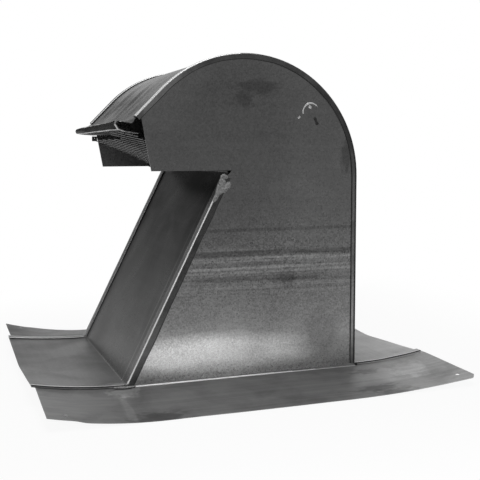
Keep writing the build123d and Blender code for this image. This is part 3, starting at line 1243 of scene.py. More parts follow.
        # The bend at the hood's end takes the bright finish, a painted highlight; the hem's nose and lower
        # layer take painted shade.
        wall[HemFace.UPPER_BEND : HemFace.NOSE] = WrapFinish.WEAR_AND_PAINTED_HIGHLIGHT
        wall[HemFace.NOSE :] = WrapFinish.SHADE
        wall[HemFace.LOWER_BEND : HemFace.RETURN] = WrapFinish.FOLD
        wall[HemFace.NOSE :, 0] = WrapFinish.FOLD
        return wall

    def seam_finishes(self, side: Side, rows: int) -> np.ndarray:
        """Finish of each face of a lock seam: dark low on the back, and over the crown a painted highlight
        and, on the far side, painted shade.

        Args:
            side: Side of the vent.
            rows: Rows of faces.

        Returns:
            Their numbers in rows and columns.
        """
        finishes = np.tile(LockSeam.finishes(), (rows, 1))
        finishes[: self.dark_stations, SeamFace.INNER : SeamFace.LIP + 2] = WrapFinish.DIRT_AND_PAINTED_SHADE
        crown = finishes[self.crown_station :]
        if side is Side.NEAR:
            # Painted highlight on the near seam's corner.
            crown[:, SeamFace.TOP + 2 : SeamFace.LIP] = WrapFinish.WEAR_AND_PAINTED_HIGHLIGHT
        else:
            # Painted highlight on the far seam's inner bend, and painted shade over its top layer.
            crown[:, SeamFace.INNER - 1 : SeamFace.TOP + 1] = WrapFinish.WEAR_AND_PAINTED_HIGHLIGHT
            crown[:, SeamFace.TOP + 1 : SeamFace.LIP] = WrapFinish.SHADE
        return finishes

    def build(self, materials: list[bpy.types.Material]) -> bpy.types.Object:
        """Form the sheet.

        Args:
            materials: The finishes, in the order of WrapFinish.

        Returns:
            The piece.
        """
        form = self.form
        sheet = SheetMetal("heel_wrap", form.sheet)
        skin, inwards = form.heel_line()
        start = self.apron_stations + self.bend_steps + 2
        grid = sweep_across(form, self.profile, slice(start, start + len(skin)), self.columns)
        wall = grid[self.apron_rows :]
        sheet.patch(grid[: self.apron_rows + 1], WrapFinish.APRON)
        sheet.patch(wall, self.wall_finishes(len(wall) - 1))
        for side, seed in ((Side.NEAR, 41), (Side.FAR, 51)):
            seam = LockSeam(form, self.lip, self.lip_waves, seed)
            lap = ApronLap(form, side, ApronEnd.REAR)
            sheet.patch(seam.grid(skin, inwards, side), self.seam_finishes(side, len(skin) - 1))
            sheet.patch(lap.grid(grid[: self.apron_stations + 1, 0, 0]), lap.finishes())
        return sheet.build(materials)


@dataclass
class ThroatSheet:
    """Front apron, sloping throat and sill in one sheet.

    Attributes:
        form: The vent's sizes.
        lip: How far the seams' lips reach round the cheeks.
        lip_waves: How far the lips' edges wander.
        front_gap: How far the front edge lies inside the apron's full length.
        seam_stop: How far below the mouth the seams end.
        sill_width: Width of the sill.
        sill_bend: Radius of the bend into the sill.
        uneven: Height of the sheet's soft waves.
        columns: Lines across the sheet.
        wall_stations: Stations up the throat.
        apron_stations: Stations along the apron.
        bend_steps: Steps round the foot bend.
        apron_rows: Rows of faces that have the apron's finish.
    """

    form: VentForm
    lip: float = 7.8
    lip_waves: float = 0.7
    front_gap: float = 0.1
    seam_stop: float = 5.0
    sill_width: float = 22.0
    sill_bend: float = 1.5
    uneven: float = 0.6
    columns: int = 37
    wall_stations: int = 40
    apron_stations: int = 18
    bend_steps: int = 5
    apron_rows: int = 20

    def profile(self, y: float) -> np.ndarray:
        """Middle line of the main sheet at one place across.

        Args:
            y: Place across the sheet.

        Returns:
            Points from the front edge to the sill, as X and Z.
        """
        form = self.form
        front_x = form.throat_x0 - form.front_apron + self.front_gap
        apron_x = np.linspace(front_x, form.throat_x0, self.apron_stations + 1)[:-1]
        apron = form.apron_line(apron_x, y, ApronEnd.FRONT)
        foot = form.throat_point(form.apron_mid, form.main_mid)
        stations = self.stations()
        wall = form.throat_point(stations, form.main_mid)
        corner = np.array([(form.throat_x0, foot[1]), foot, wall[0]])
        bend = bent(corner, (form.bend_mid,), arc_steps=self.bend_steps)
        top = form.throat_point(form.mouth_height - form.sheet / 2, form.main_mid)
        edge = (top[0] - self.sill_width, top[1])
        sill = bent(np.array([wall[-1], top, edge]), (self.sill_bend,), arc_steps=5, span_steps=(1, 4))
        inside = fade(form.fold_y - abs(y), 4.0, 40.0)
        dent = self.uneven * inside * ripple(stations, np.full_like(stations, y), 110.0, 15)
        dent = dent * fade(stations, 8, 40) * (1 - fade(stations, 180, 210))
        wall = wall + np.array([form.throat_sin, -form.throat_cos]) * dent[:, None]
        return np.concatenate([apron, bend[:-1], wall, sill[1:]])

    def stations(self) -> np.ndarray:
        """Heights above the foot line at which the throat is sampled."""
        top = self.form.mouth_height - self.seam_stop
        return np.linspace(self.form.seam_start, top, self.wall_stations)

    def build(self, materials: list[bpy.types.Material]) -> bpy.types.Object:
        """Form the sheet.

        Args:
            materials: The finishes, in the order of WrapFinish and without the last.

        Returns:
            The piece.
        """
        form = self.form
        sheet = SheetMetal("throat_wrap", form.sheet)
        skin = form.throat_point(self.stations(), 0.0)
        inwards = np.tile([form.throat_sin, -form.throat_cos], (len(skin), 1))
        start = self.apron_stations + self.bend_steps + 2
        grid = sweep_across(form, self.profile, slice(start, start + len(skin)), self.columns)
        sheet.patch(grid[: self.apron_rows + 1], WrapFinish.APRON)
        sheet.patch(grid[self.apron_rows :], WrapFinish.SHEET)
        for side, seed in ((Side.NEAR, 61), (Side.FAR, 71)):
            seam = LockSeam(form, self.lip, self.lip_waves, seed)
            lap = ApronLap(form, side, ApronEnd.FRONT)
            # Here the corner into the lip takes the bright finish: a painted highlight along the throat's
            # edges.
            finishes = seam.finishes(WrapFinish.SHEET, WrapFinish.FOLD, WrapFinish.WEAR_AND_PAINTED_HIGHLIGHT)
            sheet.patch(seam.grid(skin, inwards, side), finishes)
            sheet.patch(lap.grid(grid[: self.apron_stations + 1, 0, 0]), lap.finishes())
        return sheet.build(materials)


@dataclass
class Cheek:
    """Side wall of the neck and hood, with the side strip of the flange bent out at its foot.

    Attributes:
        form: The vent's sizes.
        side: Side of the vent.
        corners: Rise of the side edge at its front and rear corners.
        foot_bend: Radius of the bend at the foot.
        edge_inset: How far the wall's edge lies inside the skin of the heel and throat.
        cheek_stop: How far before the end of the hood the wall ends.
        front_strip: Length of the strip before the throat.
        rear_strip: Length of the strip behind the back, beside the body.
        rear_flare: How much longer it is at its side edge.
        corner_clip: Size of the cut rear corner.
        trim_depth: Width cut from the strip's front end.
        trim_length: Length of that cut.
        trim_ramp: Length over which it runs out.
        edge_gap: How far the side edge lies inside the flange's full width.
        flat_front: Where the side edge starts to curl up to the front, behind the throat's foot.
        flat_rear: Where it starts to curl up to the rear, before the back.
        lap: Width of the tongue under an apron.
        nail_radius: Radius of the nail holes.
        nail_front_inset: Distance of the front hole from the front end.
        nail_rear_inset: Distance of the rear hole from the rear end.
        nail_side_inset: Distance of both from the side edge.
        notch_run: Length of the notch where the throat meets the mouth.
        notch_drop: Its foot, below the mouth.
        notch_top: Its top, below the mouth.
        split_turn: Angle of the arc at which the neck's block meets the hood's.
        bow: How far the wall bows.
        bow_length: Usual length of its waves.
        body_columns: Columns of faces along the body.
        wall_rows: Rows of points up the neck.
        hood_columns: Columns of points from the mouth to the neck.
    """

    form: VentForm
    side: Side
    corners: tuple[float, float]
    foot_bend: float = 2.0
    edge_inset: float = 1.3
    cheek_stop: float = 6.0
    front_strip: float = 89.0
    rear_strip: float = 88.5
    rear_flare: float = 13.0
    corner_clip: float = 7.0
    trim_depth: float = 3.7
    trim_length: float = 24.5
    trim_ramp: float = 12.0
    edge_gap: float = 0.06
    flat_front: float = 26.0
    flat_rear: float = 66.0
    lap: float = 10.0
    nail_radius: float = 2.4
    nail_front_inset: float = 18.0
    nail_rear_inset: float = 16.0
    nail_side_inset: float = 15.5
    notch_run: float = 5.0
    notch_drop: float = 7.0
    notch_top: float = 1.5
    split_turn: float = math.radians(30)
    bow: float = 0.7
    bow_length: float = 190.0
    body_columns: int = 48
    wall_rows: int = 64
    hood_columns: int = 44

    def __post_init__(self) -> None:
        """Work out the ends and the middle planes of the wall and the strip."""
        form = self.form
        self.front_x = form.throat_x0 - self.front_strip
        self.rear_reach = self.rear_strip + self.rear_flare
        self.rear_x = form.back_x + self.rear_reach
        self.wall_y = form.half_duct + form.sheet / 2
        self.strip_y = form.half_body + self.foot_bend
        self.clip_y = form.half_flange - self.corner_clip

    @staticmethod
    def fill(low: np.ndarray, high: np.ndarray, left: np.ndarray, right: np.ndarray) -> np.ndarray:
        """Fill a four-sided block between its sides.

        Args:
            low: Points of the lower side, from left to right.
            high: Points of the upper side, from left to right.
            left: Points of the left side, upwards.
            right: Points of the right side, upwards.

        Returns:
            A grid whose rows run from the lower to the upper side.
        """
        across = np.linspace(0, 1, len(low))[None, :, None]
        up = np.linspace(0, 1, len(left))[:, None, None]
        between = (1 - up) * low[None] + up * high[None]
        between = between + (1 - across) * left[:, None] + across * right[:, None]
        low_ends = (1 - across) * low[0] + across * low[-1]
        high_ends = (1 - across) * high[0] + across * high[-1]
        return between - ((1 - up) * low_ends + up * high_ends)

    def wall(self) -> tuple[np.ndarray, np.ndarray]:
        """Blocks of the wall on their upright plane.

        Returns:
            Grids of the neck's block and the hood's block, as X and Z.
        """
        form, inset, columns = self.form, self.edge_inset, self.body_columns + 1
        left = form.throat_point(self.foot_bend, inset)
        foot = np.array([left, (form.back_x - inset, form.foot_z + self.foot_bend)])
        low = form.throat_point(form.mouth_height - self.notch_drop, inset)
        high = form.throat_point(form.mouth_height - self.notch_top, inset) + np.array([self.notch_run, 0.0])
        top = np.array([high[0], form.mouth_z])
        throat_side = bent(np.array([left, low, high, top]), (6.0, 3.0), span_steps=(24, 2, 1))
        turns = (np.linspace(0.0, self.split_turn, 30), np.linspace(form.arc_turn, self.split_turn, 60))
        centre, radius = np.array([form.arc_x, form.arc_z]), form.hood_radius - inset
        lower, upper = [centre + radius * np.stack([np.cos(turn), np.sin(turn)], -1) for turn in turns]
        back_side = np.concatenate([foot[1:], lower])
        front = np.array([form.back_x - form.mouth_reach, form.mouth_z])
        hood = np.concatenate([form.hood_point(inset, form.hood_run - self.cheek_stop)[None], upper])
        seam = even_steps(np.array([top, lower[-1]]), columns)
        sides = [even_steps(line, self.wall_rows) for line in (throat_side, back_side)]
        neck = self.fill(even_steps(foot, columns), seam, *sides)
        sill = even_steps(np.array([front, top]), self.hood_columns)
        mouth = even_steps(np.array([front, hood[0]]), columns)
        return neck, self.fill(sill, even_steps(hood, self.hood_columns), mouth, seam)

    def dish(self, x: np.ndarray, z: np.ndarray) -> np.ndarray:
        """How far the wall bows out from its plane, nothing at its seams and its foot.

        Args:
            x: X of each point.
            z: Z of each point.

        Returns:
            A distance for each point.
        """
        form = self.form
        from_throat = (x - form.throat_x0 - (z - form.foot_z) * form.throat_cot) * form.throat_sin
        from_throat = from_throat + 90 * fade(z, form.mouth_z - 40, form.mouth_z + 10)
        edge = np.minimum(np.minimum(from_throat, form.skin_depth(x, z)), z - form.foot_z)
        return self.bow * ripple(x, z, self.bow_length, 3 + self.side.value) * fade(edge, 12.0, 60.0)

    def edge_z(self, x: np.ndarray) -> np.ndarray:
        """Top of the side edge, which curls up to its front and rear corners.

        Args:
            x: X of each point.

        Returns:
            Z of each point.
        """
        form = self.form
        flat_front, flat_rear = form.throat_x0 + self.flat_front, form.back_x - self.flat_rear
        front = np.maximum(flat_front - x, 0) / (flat_front - self.front_x)
        rear = np.maximum(x - flat_rear, 0) / (self.rear_x - flat_rear)
        return form.sheet + self.corners[0] * front**2 + self.corners[1] * rear**2

    def strip(self, station: np.ndarray, out: np.ndarray) -> np.ndarray:
        """Points of the side strip.

        Args:
            station: X of each station before the rear end is cut aslant.
            out: Distances from the body, as a share of the strip's width, below 0 for the tongue.

        Returns:
            A grid with a row for each station.
        """
        form = self.form
        x = station[:, None] + np.zeros((1, len(out)))
        trim_end = self.front_x + self.trim_length
        trim = 1 - fade(x, trim_end, trim_end + self.trim_ramp)
        edge = form.half_flange - self.edge_gap - self.trim_depth * trim
        y = self.strip_y + out[None, :] * (edge - self.strip_y)
        tongue = self.strip_y - (self.strip_y - form.half_body + self.lap) * -out[None, :]
        y = np.where(out[None, :] < 0, tongue, y)
        slant = np.clip((y - form.half_body) / (form.half_flange - form.half_body), 0, 1)
        rear = self.rear_strip + self.rear_flare * slant
        clip = self.rear_reach - np.maximum(y - self.clip_y, 0)
        share = np.maximum(x - form.back_x, 0) / self.rear_reach
        x = np.where(x > form.back_x, form.back_x + share * np.minimum(rear, clip), x)
        inner = form.lap_z(x, self.side)
        slope = np.clip((y - self.strip_y) / (form.half_flange - self.strip_y), 0, 1)
        level = inner + (self.edge_z(x) - inner) * slope - form.sheet / 2
        level = level + form.wave(x, self.side.value * y)
        return np.stack([x, self.side.value * y, np.maximum(level, form.sheet / 2)], -1)

    def foot(self, wall: np.ndarray, body: np.ndarray) -> np.ndarray:
        """Bend from the foot of the wall into the strip.

        Args:
            wall: X of the wall's points at its foot.
            body: X of the strip's points beside the body.

        Returns:
            A grid whose rows run along the body.
        """
        angles = np.linspace(0, math.pi / 2, 8)
        radius = self.foot_bend + self.form.sheet / 2
        share = (np.sin(angles) ** 2)[:, None]
        x = (1 - share) * wall[None, :] + share * body[None, :]
        y = self.side.value * (self.strip_y - radius * np.cos(angles))[:, None]
        z = (self.form.foot_z + self.foot_bend - radius * np.sin(angles))[:, None]
        return np.stack(np.broadcast_arrays(x, y, z), -1)

    def build(self, name: str, materials: list[bpy.types.Material]) -> bpy.types.Object:
        """Form the sheet.

        Args:
            name: Name of the piece.
            materials: The finishes, in the order of CheekFinish.

        Returns:
            The piece.
        """
        form = self.form
        sheet = SheetMetal(name, form.sheet)
        blocks = self.wall()
        for block in blocks:
            x, z = block[..., 0], block[..., 1]
            y = self.side.value * (self.wall_y + self.dish(x, z))
            sheet.patch(np.stack([x, y, z], -1), CheekFinish.WALL)
        body = np.linspace(form.throat_x0, form.back_x, self.body_columns + 1)
        front = np.linspace(self.front_x, form.throat_x0, 24)
        rear = np.linspace(form.back_x, self.rear_x, 26)
        stations = np.concatenate([front[:-1], body, rear[1:]])
        clip_share = (self.clip_y - self.strip_y) / (form.half_flange - self.strip_y)
        out = np.concatenate([np.linspace(0, clip_share, 14), [0.5 + clip_share / 2, 1.0]])
        tongue = np.array([-1.0, -0.5, 0.0])
        for station, across in ((stations, out), (front, tongue), (rear, tongue)):
            sheet.patch(self.strip(station, across), CheekFinish.STRIP)
        foot = self.foot(blocks[0][0, :, 0], body)
        # Past its first rows the foot bend takes the bright finish: a painted highlight along the bend,
        # narrower towards the rear.
        dull_rows = 1 + 4 * fade(np.arange(self.body_columns), 20, 48)
        bright = np.arange(len(foot) - 1)[:, None] > dull_rows[None]
        sheet.patch(foot, np.where(bright, CheekFinish.WEAR_AND_PAINTED_HIGHLIGHT, CheekFinish.STRIP))
        nails = (self.front_x + self.nail_front_inset, self.rear_x - self.nail_rear_inset)
        return sheet.build(materials, tuple(self.nail_cutter(x) for x in nails))

    def nail_cutter(self, x: float) -> bpy.types.Object:
        """Round bar that cuts one nail hole.

        Args:
            x: X of the hole's middle.

        Returns:
            The bar.
        """
        angles = np.linspace(0, 2 * math.pi, 24, endpoint=False)
        y = self.side.value * (self.form.half_flange - self.nail_side_inset)
        ring = [(x + self.nail_radius * math.cos(a), y + self.nail_radius * math.sin(a)) for a in angles]
        points = [(*p, z) for z in (-5.0, 40.0) for p in ring]
        count = len(ring)
        faces = [tuple(range(count)), tuple(range(count, 2 * count))]
        faces += [(k, (k + 1) % count, count + (k + 1) % count, count + k) for k in range(count)]
        return solid("nail_cutter", points, faces, bpy.data.materials.new("cutter"))


@dataclass
class MouthScreen:
    """Expanded metal across the mouth: slanted strands that meet at knuckles.

    Attributes:
        low: Middle of the screen's lower end.
        high: Middle of its upper end.
        half_width: Half its width.
        cells_across: Half cells on each side of the middle.
        rows: Half cells from end to end.
        tucked_rows: Rows at the upper end that are left out, except at the near side.
        near_columns: How many columns from the middle the near side starts.
        strand: Width of a strand.
        thickness: Thickness of a strand.
        overlap: How far a strand runs on past its knuckles.
        lift: How far the strands stand out from the screen's plane.
        tilt: How far a strand is turned about its own length.
    """

    low: np.ndarray
    high: np.ndarray
    half_width: float = 126.6
    cells_across: float = 7.5
    rows: int = 18
    tucked_rows: int = 3
    near_columns: int = 3
    strand: float = 1.0
    thickness: float = 0.5
    overlap: float = 0.6
    lift: float = 0.5
    tilt: float = math.radians(50)

    def build(self, material: bpy.types.Material) -> bpy.types.Object:
        """Make all the strands as one piece.

        Args:
            material: Finish of the screen.

        Returns:
            The piece.
        """
        up = self.high - self.low
        length = float(np.linalg.norm(up))
        up = up / length
        across = np.array([0.0, 1.0, 0.0])
        axes = (across, up, np.cross(across, up))
        half_cell = np.array([self.half_width / self.cells_across, length / self.rows])
        points, faces = [], []
        columns = int(self.cells_across) + 1
        for row in range(self.rows):
            for column in range(-columns, columns + 1):
                tucked = row >= self.rows - self.tucked_rows and column > -self.near_columns
                if (row + column) % 2 == 0 or tucked:
                    continue
                for step in (-1, 1):
                    start = np.array([column, row]) * half_cell
                    stop = np.array([column + step, row + 1]) * half_cell
                    inside = self.trim(start, stop)
                    if inside is not None:
                        self.add_strand(points, faces, inside, axes, step)
        return solid("mouth_mesh", points, faces, material)

    def trim(self, start: np.ndarray, stop: np.ndarray) -> tuple[np.ndarray, np.ndarray] | None:
        """Cut a strand off at the sides of the screen.

        Args:
            start: One end on the screen's plane.
            stop: The other end.

        Returns:
            Both ends, or None where the strand lies outside.
        """
        limit = self.half_width
        if abs(start[0]) >= limit and abs(stop[0]) >= limit:
            return None
        ends = []
        for one, other in ((start, stop), (stop, start)):
            if abs(one[0]) > limit:
                share = (abs(one[0]) - limit) / abs(one[0] - other[0])
                one = one + (other - one) * share
            ends.append(one)
        return ends[0], ends[1]

    def add_strand(self, points: list, faces: list, ends: tuple, axes: tuple, step: int) -> None:
        """Add one flat strand, turned about its own length.

        Args:
            points: Points gathered so far.
            faces: Faces gathered so far.
            ends: Its two ends on the screen's plane.
            axes: Directions across, up and out of the plane.
            step: Its direction across, which way it is turned.
        """
        across, up, out = axes
        way = (ends[1] - ends[0]) / np.linalg.norm(ends[1] - ends[0])
        along = way[0] * across + way[1] * up
        flat = np.cross(out, along)
        wide = math.cos(self.tilt) * flat + math.sin(self.tilt) * out * step
        thick = np.cross(along, wide)
        base = len(points)
        for end, reach in ((ends[0], -self.overlap), (ends[1], self.overlap)):
            middle = self.low + end[0] * across + end[1] * up + along * reach + out * self.lift
            for a, b in ((-1, -1), (1, -1), (1, 1), (-1, 1)):
                points.append(middle + wide * a * self.strand / 2 + thick * b * self.thickness / 2)
        faces += [(base, base + 1, base + 2, base + 3), (base + 4, base + 5, base + 6, base + 7)]
        faces += [(base + k, base + (k + 1) % 4, base + 4 + (k + 1) % 4, base + 4 + k) for k in range(4)]


@dataclass
class SmallTrim:
    """Sealant at the throat's corners, the dab's painted highlights on the near side, a dark mark below it,
    a painted shadow at the cheek's foot, and the small clip under the hem.

    Attributes:
        sealant: Finish of the sealant.
        bright: Finish of the dab's painted highlights and of the clip's rivet.
        dark: Finish of the drip, of the painted shadow at the near cheek's foot, and of the clip.
        side_y: Y of the near cheek's outer side.
        dab_x: X of the dab's middle.
        dab_z: Z of the dab's middle.
        dab_radius: Radius of its rim.
    """

    sealant: bpy.types.Material
    bright: bpy.types.Material
    dark: bpy.types.Material
    side_y: float = -128.1
    dab_x: float = 70.7
    dab_z: float = 290.1
    dab_radius: float = 9.3

    def corner_beads(self) -> list[Bead]:
        """Sealant where the throat's seam ends under the mouth, and smears at its foot.

        Returns:
            The beads.
        """
        y = self.side_y - 0.3
        up = (0.0, 0.0, 1.0)
        seam_end = ((-28.0, y, 222.0), (-30.0, y, 213.0), (-35.0, y, 204.0), (-39.5, y, 196.0))
        beside = ((-20.5, y, 217.0), (-24.0, y, 212.5), (-30.0, y, 206.5))
        top = ((-31.5, y, 222.5), (-27.0, y, 223.0), (-23.0, y, 221.5))
        foot = ((-147.0, -129.5, 11.7), (-137.0, -130.5, 11.3), (-124.0, -130.5, 11.1))
        foot_end = ((-134.0, -124.0, 13.4), (-131.0, -128.5, 13.2))
        return [
            Bead(seam_end, (3.2, 4.6, 3.0, 1.2), 1.2, rough=0.5, seed=4),
            Bead(beside, (3.2, 3.6, 2.4), 1.5, rough=0.5, seed=5),
            Bead(top, (1.8, 2.4, 1.6), 1.2, rough=0.5, seed=6),
            Bead(foot, (2.0, 3.4, 1.6), 0.9, up, 0.5, 7),
            Bead(foot_end, (2.2, 2.6), 1.0, up, 0.4, 8),
        ]

    def dab_beads(self) -> list[Bead]:
        """Painted highlights of the dab: a bright crescent on its rim, a nub for a lamp's reflection, and a
        fleck.

        Returns:
            The beads.
        """
        y, radius, stations = self.side_y + 0.2, self.dab_radius, 14
        angles = np.radians(np.linspace(38, 195, stations))
        rim = [(self.dab_x + radius * math.cos(a), y, self.dab_z + radius * math.sin(a)) for a in angles]
        widths = np.interp(np.linspace(0, 1, stations), [0, 0.35, 1], [0.5, 1.1, 0.5])
        return [
            Bead(tuple(rim), tuple(widths), 0.7, rough=0.3, seed=11),
            Bead(((68.0, y, 294.8), (71.2, y, 295.8)), (2.0, 1.6), 0.8, seed=12),
            Bead(((55.6, y, 283.0), (58.2, y, 285.4)), (0.7, 0.9), 0.6, seed=13),
        ]

    def dark_beads(self) -> list[Bead]:
        """Drip under the dab, and a dark bead at the foot of the near cheek's rear edge: painted shade for
        the dark notch there.

        Returns:
            The beads.
        """
        y = self.side_y + 0.3
        drip = ((74.6, y, 284.6), (76.4, y, 281.5), (78.4, y, 276.4))
        foot = ((125.6, -129.2, 12.2), (128.4, -129.2, 12.2))
        return [Bead(drip, (1.8, 1.3, 2.2), 0.5, rough=0.5, seed=14), Bead(foot, (1.8, 1.8), 1.6, seed=16)]

    def clip_box(self) -> bpy.types.Object:
        """Small dark square clip under the hem's far end.

        Returns:
            The piece.
        """
        corners = ((-118.0, -112.0), (121.0, 124.0), (261.5, 267.5))
        points = [(x, y, z) for x in corners[0] for y in corners[1] for z in corners[2]]
        faces = [(0, 1, 3, 2), (4, 6, 7, 5), (0, 4, 5, 1), (2, 3, 7, 6), (0, 2, 6, 4), (1, 5, 7, 3)]
        return solid("hem_clip", points, faces, self.dark)

    def build(self) -> None:
        """Lay all the small trim."""
        place_on_vent(lay_beads("corner_sealant", self.corner_beads(), self.sealant), "wrapper_galvanised")
        place_on_vent(lay_beads("dab_painted_highlight", self.dab_beads(), self.bright), "cheek_galvanised")
        place_on_vent(lay_beads("dark_mark_and_painted_shade", self.dark_beads(), self.dark), "cheek_galvanised")
        place_on_vent(self.clip_box(), "wrapper_galvanised")
        rivet = Bead(((-115.6, 120.9, 264.9), (-114.2, 120.9, 265.1)), (1.3, 1.3), 0.8, rough=0.0)
        place_on_vent(lay_beads("clip_rivet", [rivet], self.bright), "wrapper_galvanised")


@dataclass
class Studio:
    """Floor, world, lamps and camera around the vent, in metres.

    Attributes:
        back_x: X of the duct's back, from which the camera is placed.
        camera_back: The camera's place from there.
        turn: How far the camera looks to the right of the Y axis.
        tilt: How far it looks down.
        lean: How far it leans to the side.
        lens: Focal length in millimetres.
        floor_reach: Half the floor's width.
        floor_tone: Grey of the floor.
        near_fade: Two places across at which the floor goes from dim to pale, and the dim tone.
        shade_half_length: Half the length of the floor under the vent, which keeps its shadow.
        shade_half_width: Half the width of it.
        backdrop_left: Two headings, in degrees, between which the white backdrop starts.
        backdrop_right: Two headings between which it ends.
        backdrop_top: Two heights of the look between which it ends.
        room_tones: Tone of the rest of the room, low and high.
    """

    back_x: float
    camera_back: tuple[float, float, float] = (-0.44045, -0.97069, 0.25149)
    turn: float = math.radians(19.845)
    tilt: float = math.radians(6.059)
    lean: float = math.radians(0.170)
    lens: float = 64.5
    floor_reach: float = 4.0
    floor_tone: float = 0.92
    near_fade: tuple[float, float, float] = (-0.62, -0.44, 0.3)
    shade_half_length: float = 0.2
    shade_half_width: float = 0.17
    backdrop_left: tuple[float, float] = (-12.0, 1.0)
    backdrop_right: tuple[float, float] = (40.0, 75.0)
    backdrop_top: tuple[float, float] = (0.2, 0.5)
    room_tones: tuple[float, float] = (0.36, 0.22)

    def camera(self) -> None:
        """Set the camera at the photograph's viewing angle."""
        data = bpy.data.cameras.new("camera")
        data.lens = self.lens
        data.sensor_width = 36.0
        data.clip_start = 0.01
        data.clip_end = 50.0
        camera = bpy.data.objects.new("camera", data)
        bpy.context.scene.collection.objects.link(camera)
        right_share, ahead_share = math.sin(self.turn), math.cos(self.turn)
        flat = math.cos(self.tilt)
        ahead = Vector((right_share * flat, ahead_share * flat, -math.sin(self.tilt)))
        level = Vector((ahead_share, -right_share, 0.0))
        down = ahead.cross(level)
        right = math.cos(self.lean) * level + math.sin(self.lean) * down
        up = math.sin(self.lean) * level - math.cos(self.lean) * down
        turned = Matrix((right, up, -ahead)).transposed().to_4x4()
        turned.translation = Vector(self.camera_back) + Vector((self.back_x, 0.0, 0.0))
        camera.matrix_world = turned
        bpy.context.scene.camera = camera

    def floor(self) -> None:
        """Lay a pale floor that reads white behind the vent and keeps its shadow."""
        reach = self.floor_reach
        corners = [(-reach, -reach, 0), (reach, -reach, 0), (reach, reach, 0), (-reach, reach, 0)]
        mesh = bpy.data.meshes.new("floor")
        mesh.from_pydata(corners, [], [(0, 1, 2, 3)])
        floor = bpy.data.objects.new("floor", mesh)
        bpy.context.scene.collection.objects.link(floor)
        floor.data.materials.append(self.floor_material())
        floor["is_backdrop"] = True

    def floor_material(self) -> bpy.types.Material:
        """Make the floor's material.

        Returns:
            A pale material that is plain white to the camera and to reflections, but not under the vent.
        """
        material, graph, shader = new_material("pale_floor")
        output = next(n for n in material.node_tree.nodes if n.type == "OUTPUT_MATERIAL")
        place = graph.add("ShaderNodeTexCoord").outputs["Object"]
        split = graph.add("ShaderNodeSeparateXYZ", {0: place})
        dim_y, pale_y, dim_tone = self.near_fade
        pale = graph.remap(split.outputs[1], dim_y, pale_y, dim_tone, 1.0)
        tone = graph.math("MULTIPLY", pale, self.floor_tone)
        graph.link(graph.grey(tone), shader.inputs["Base Color"])
        shader.inputs["Roughness"].default_value = 0.9
        shader.inputs["Specular IOR Level"].default_value = 0.1
        past_x = graph.math("SUBTRACT", graph.math("ABSOLUTE", split.outputs[0]), self.shade_half_length)
        past_y = graph.math("SUBTRACT", graph.math("ABSOLUTE", split.outputs[1]), self.shade_half_width)
        away = graph.math("MAXIMUM", past_x, past_y)
        open_floor = graph.remap(away, 0.0, 0.012)
        far_floor = graph.remap(away, 0.06, 0.4, 0.92, 1.0)
        rays = graph.add("ShaderNodeLightPath")
        seen = graph.math("MAXIMUM", rays.outputs["Is Camera Ray"], rays.outputs["Is Glossy Ray"])
        seen = graph.math("MAXIMUM", seen, rays.outputs["Is Transmission Ray"])
        glow = graph.add("ShaderNodeEmission", {"Color": graph.grey(pale), "Strength": 1.0})
        share = graph.math("MULTIPLY", graph.math("MULTIPLY", seen, open_floor), far_floor)
        mixed = graph.add("ShaderNodeMixShader", {0: share, 1: shader.outputs[0], 2: glow.outputs[0]})
        graph.link(mixed.outputs[0], output.inputs["Surface"])
        return material

    def world(self) -> None:
        """Set a world that is white behind the vent and dimmer to the sides and in front."""
        world = bpy.data.worlds.new("studio")
        bpy.context.scene.world = world
        world.use_nodes = True
        graph = Graph(world.node_tree)
        background = next(n for n in world.node_tree.nodes if n.type == "BACKGROUND")
        way = graph.add("ShaderNodeTexCoord").outputs["Generated"]
        parts = graph.add("ShaderNodeSeparateXYZ", {0: way})
        turn = graph.math("ARCTAN2", parts.outputs[0], parts.outputs[1])
        opens = graph.remap(turn, *(math.radians(degrees) for degrees in self.backdrop_left))
        closes = graph.remap(turn, *(math.radians(degrees) for degrees in self.backdrop_right), 1.0, 0.0)
        low = graph.remap(parts.outputs[2], *self.backdrop_top, 1.0, 0.0)
        backdrop = graph.math("MULTIPLY", graph.math("MULTIPLY", opens, closes), low)
        room = graph.remap(parts.outputs[2], -0.02, 0.2, *self.room_tones)
        short_of_white = graph.math("SUBTRACT", 1.0, room)
        strength = graph.math("ADD", room, graph.math("MULTIPLY", backdrop, short_of_white))
        graph.link(graph.grey(strength), background.inputs["Color"])
        background.inputs["Strength"].default_value = 1.0

    @staticmethod
    def lamp(
        name: str,
        place: tuple[float, float, float],
        aim: tuple[float, float, float],
        size: tuple[float, float],
        radiance: float,
    ) -> None:
        """Hang a soft rectangular lamp.

        Args:
            name: Name of the lamp.
            place: Centre of the lamp.
            aim: Point that it faces.
            size: Its width and height.
            radiance: How bright its face is.
        """
        data = bpy.data.lights.new(name, "AREA")
        data.shape = "RECTANGLE"
        data.size, data.size_y = size
        data.energy = radiance * math.pi * size[0] * size[1]
        lamp = bpy.data.objects.new(name, data)
        bpy.context.scene.collection.objects.link(lamp)
        lamp.location = place
        lamp.rotation_euler = (Vector(aim) - Vector(place)).to_track_quat("-Z", "Y").to_euler()

    def build(self) -> None:
        """Build the whole studio."""
        self.camera()
        self.floor()
        self.world()
        self.lamp("overhead", (-0.1, -0.1, 1.7), (0.0, 0.0, 0.1), (1.5, 0.8), 3.4)
        self.lamp("left_panel", (-1.35, -0.9, 0.75), (0.0, 0.0, 0.15), (0.8, 0.8), 2.5)
        bpy.context.scene.view_settings.view_transform = "Standard"


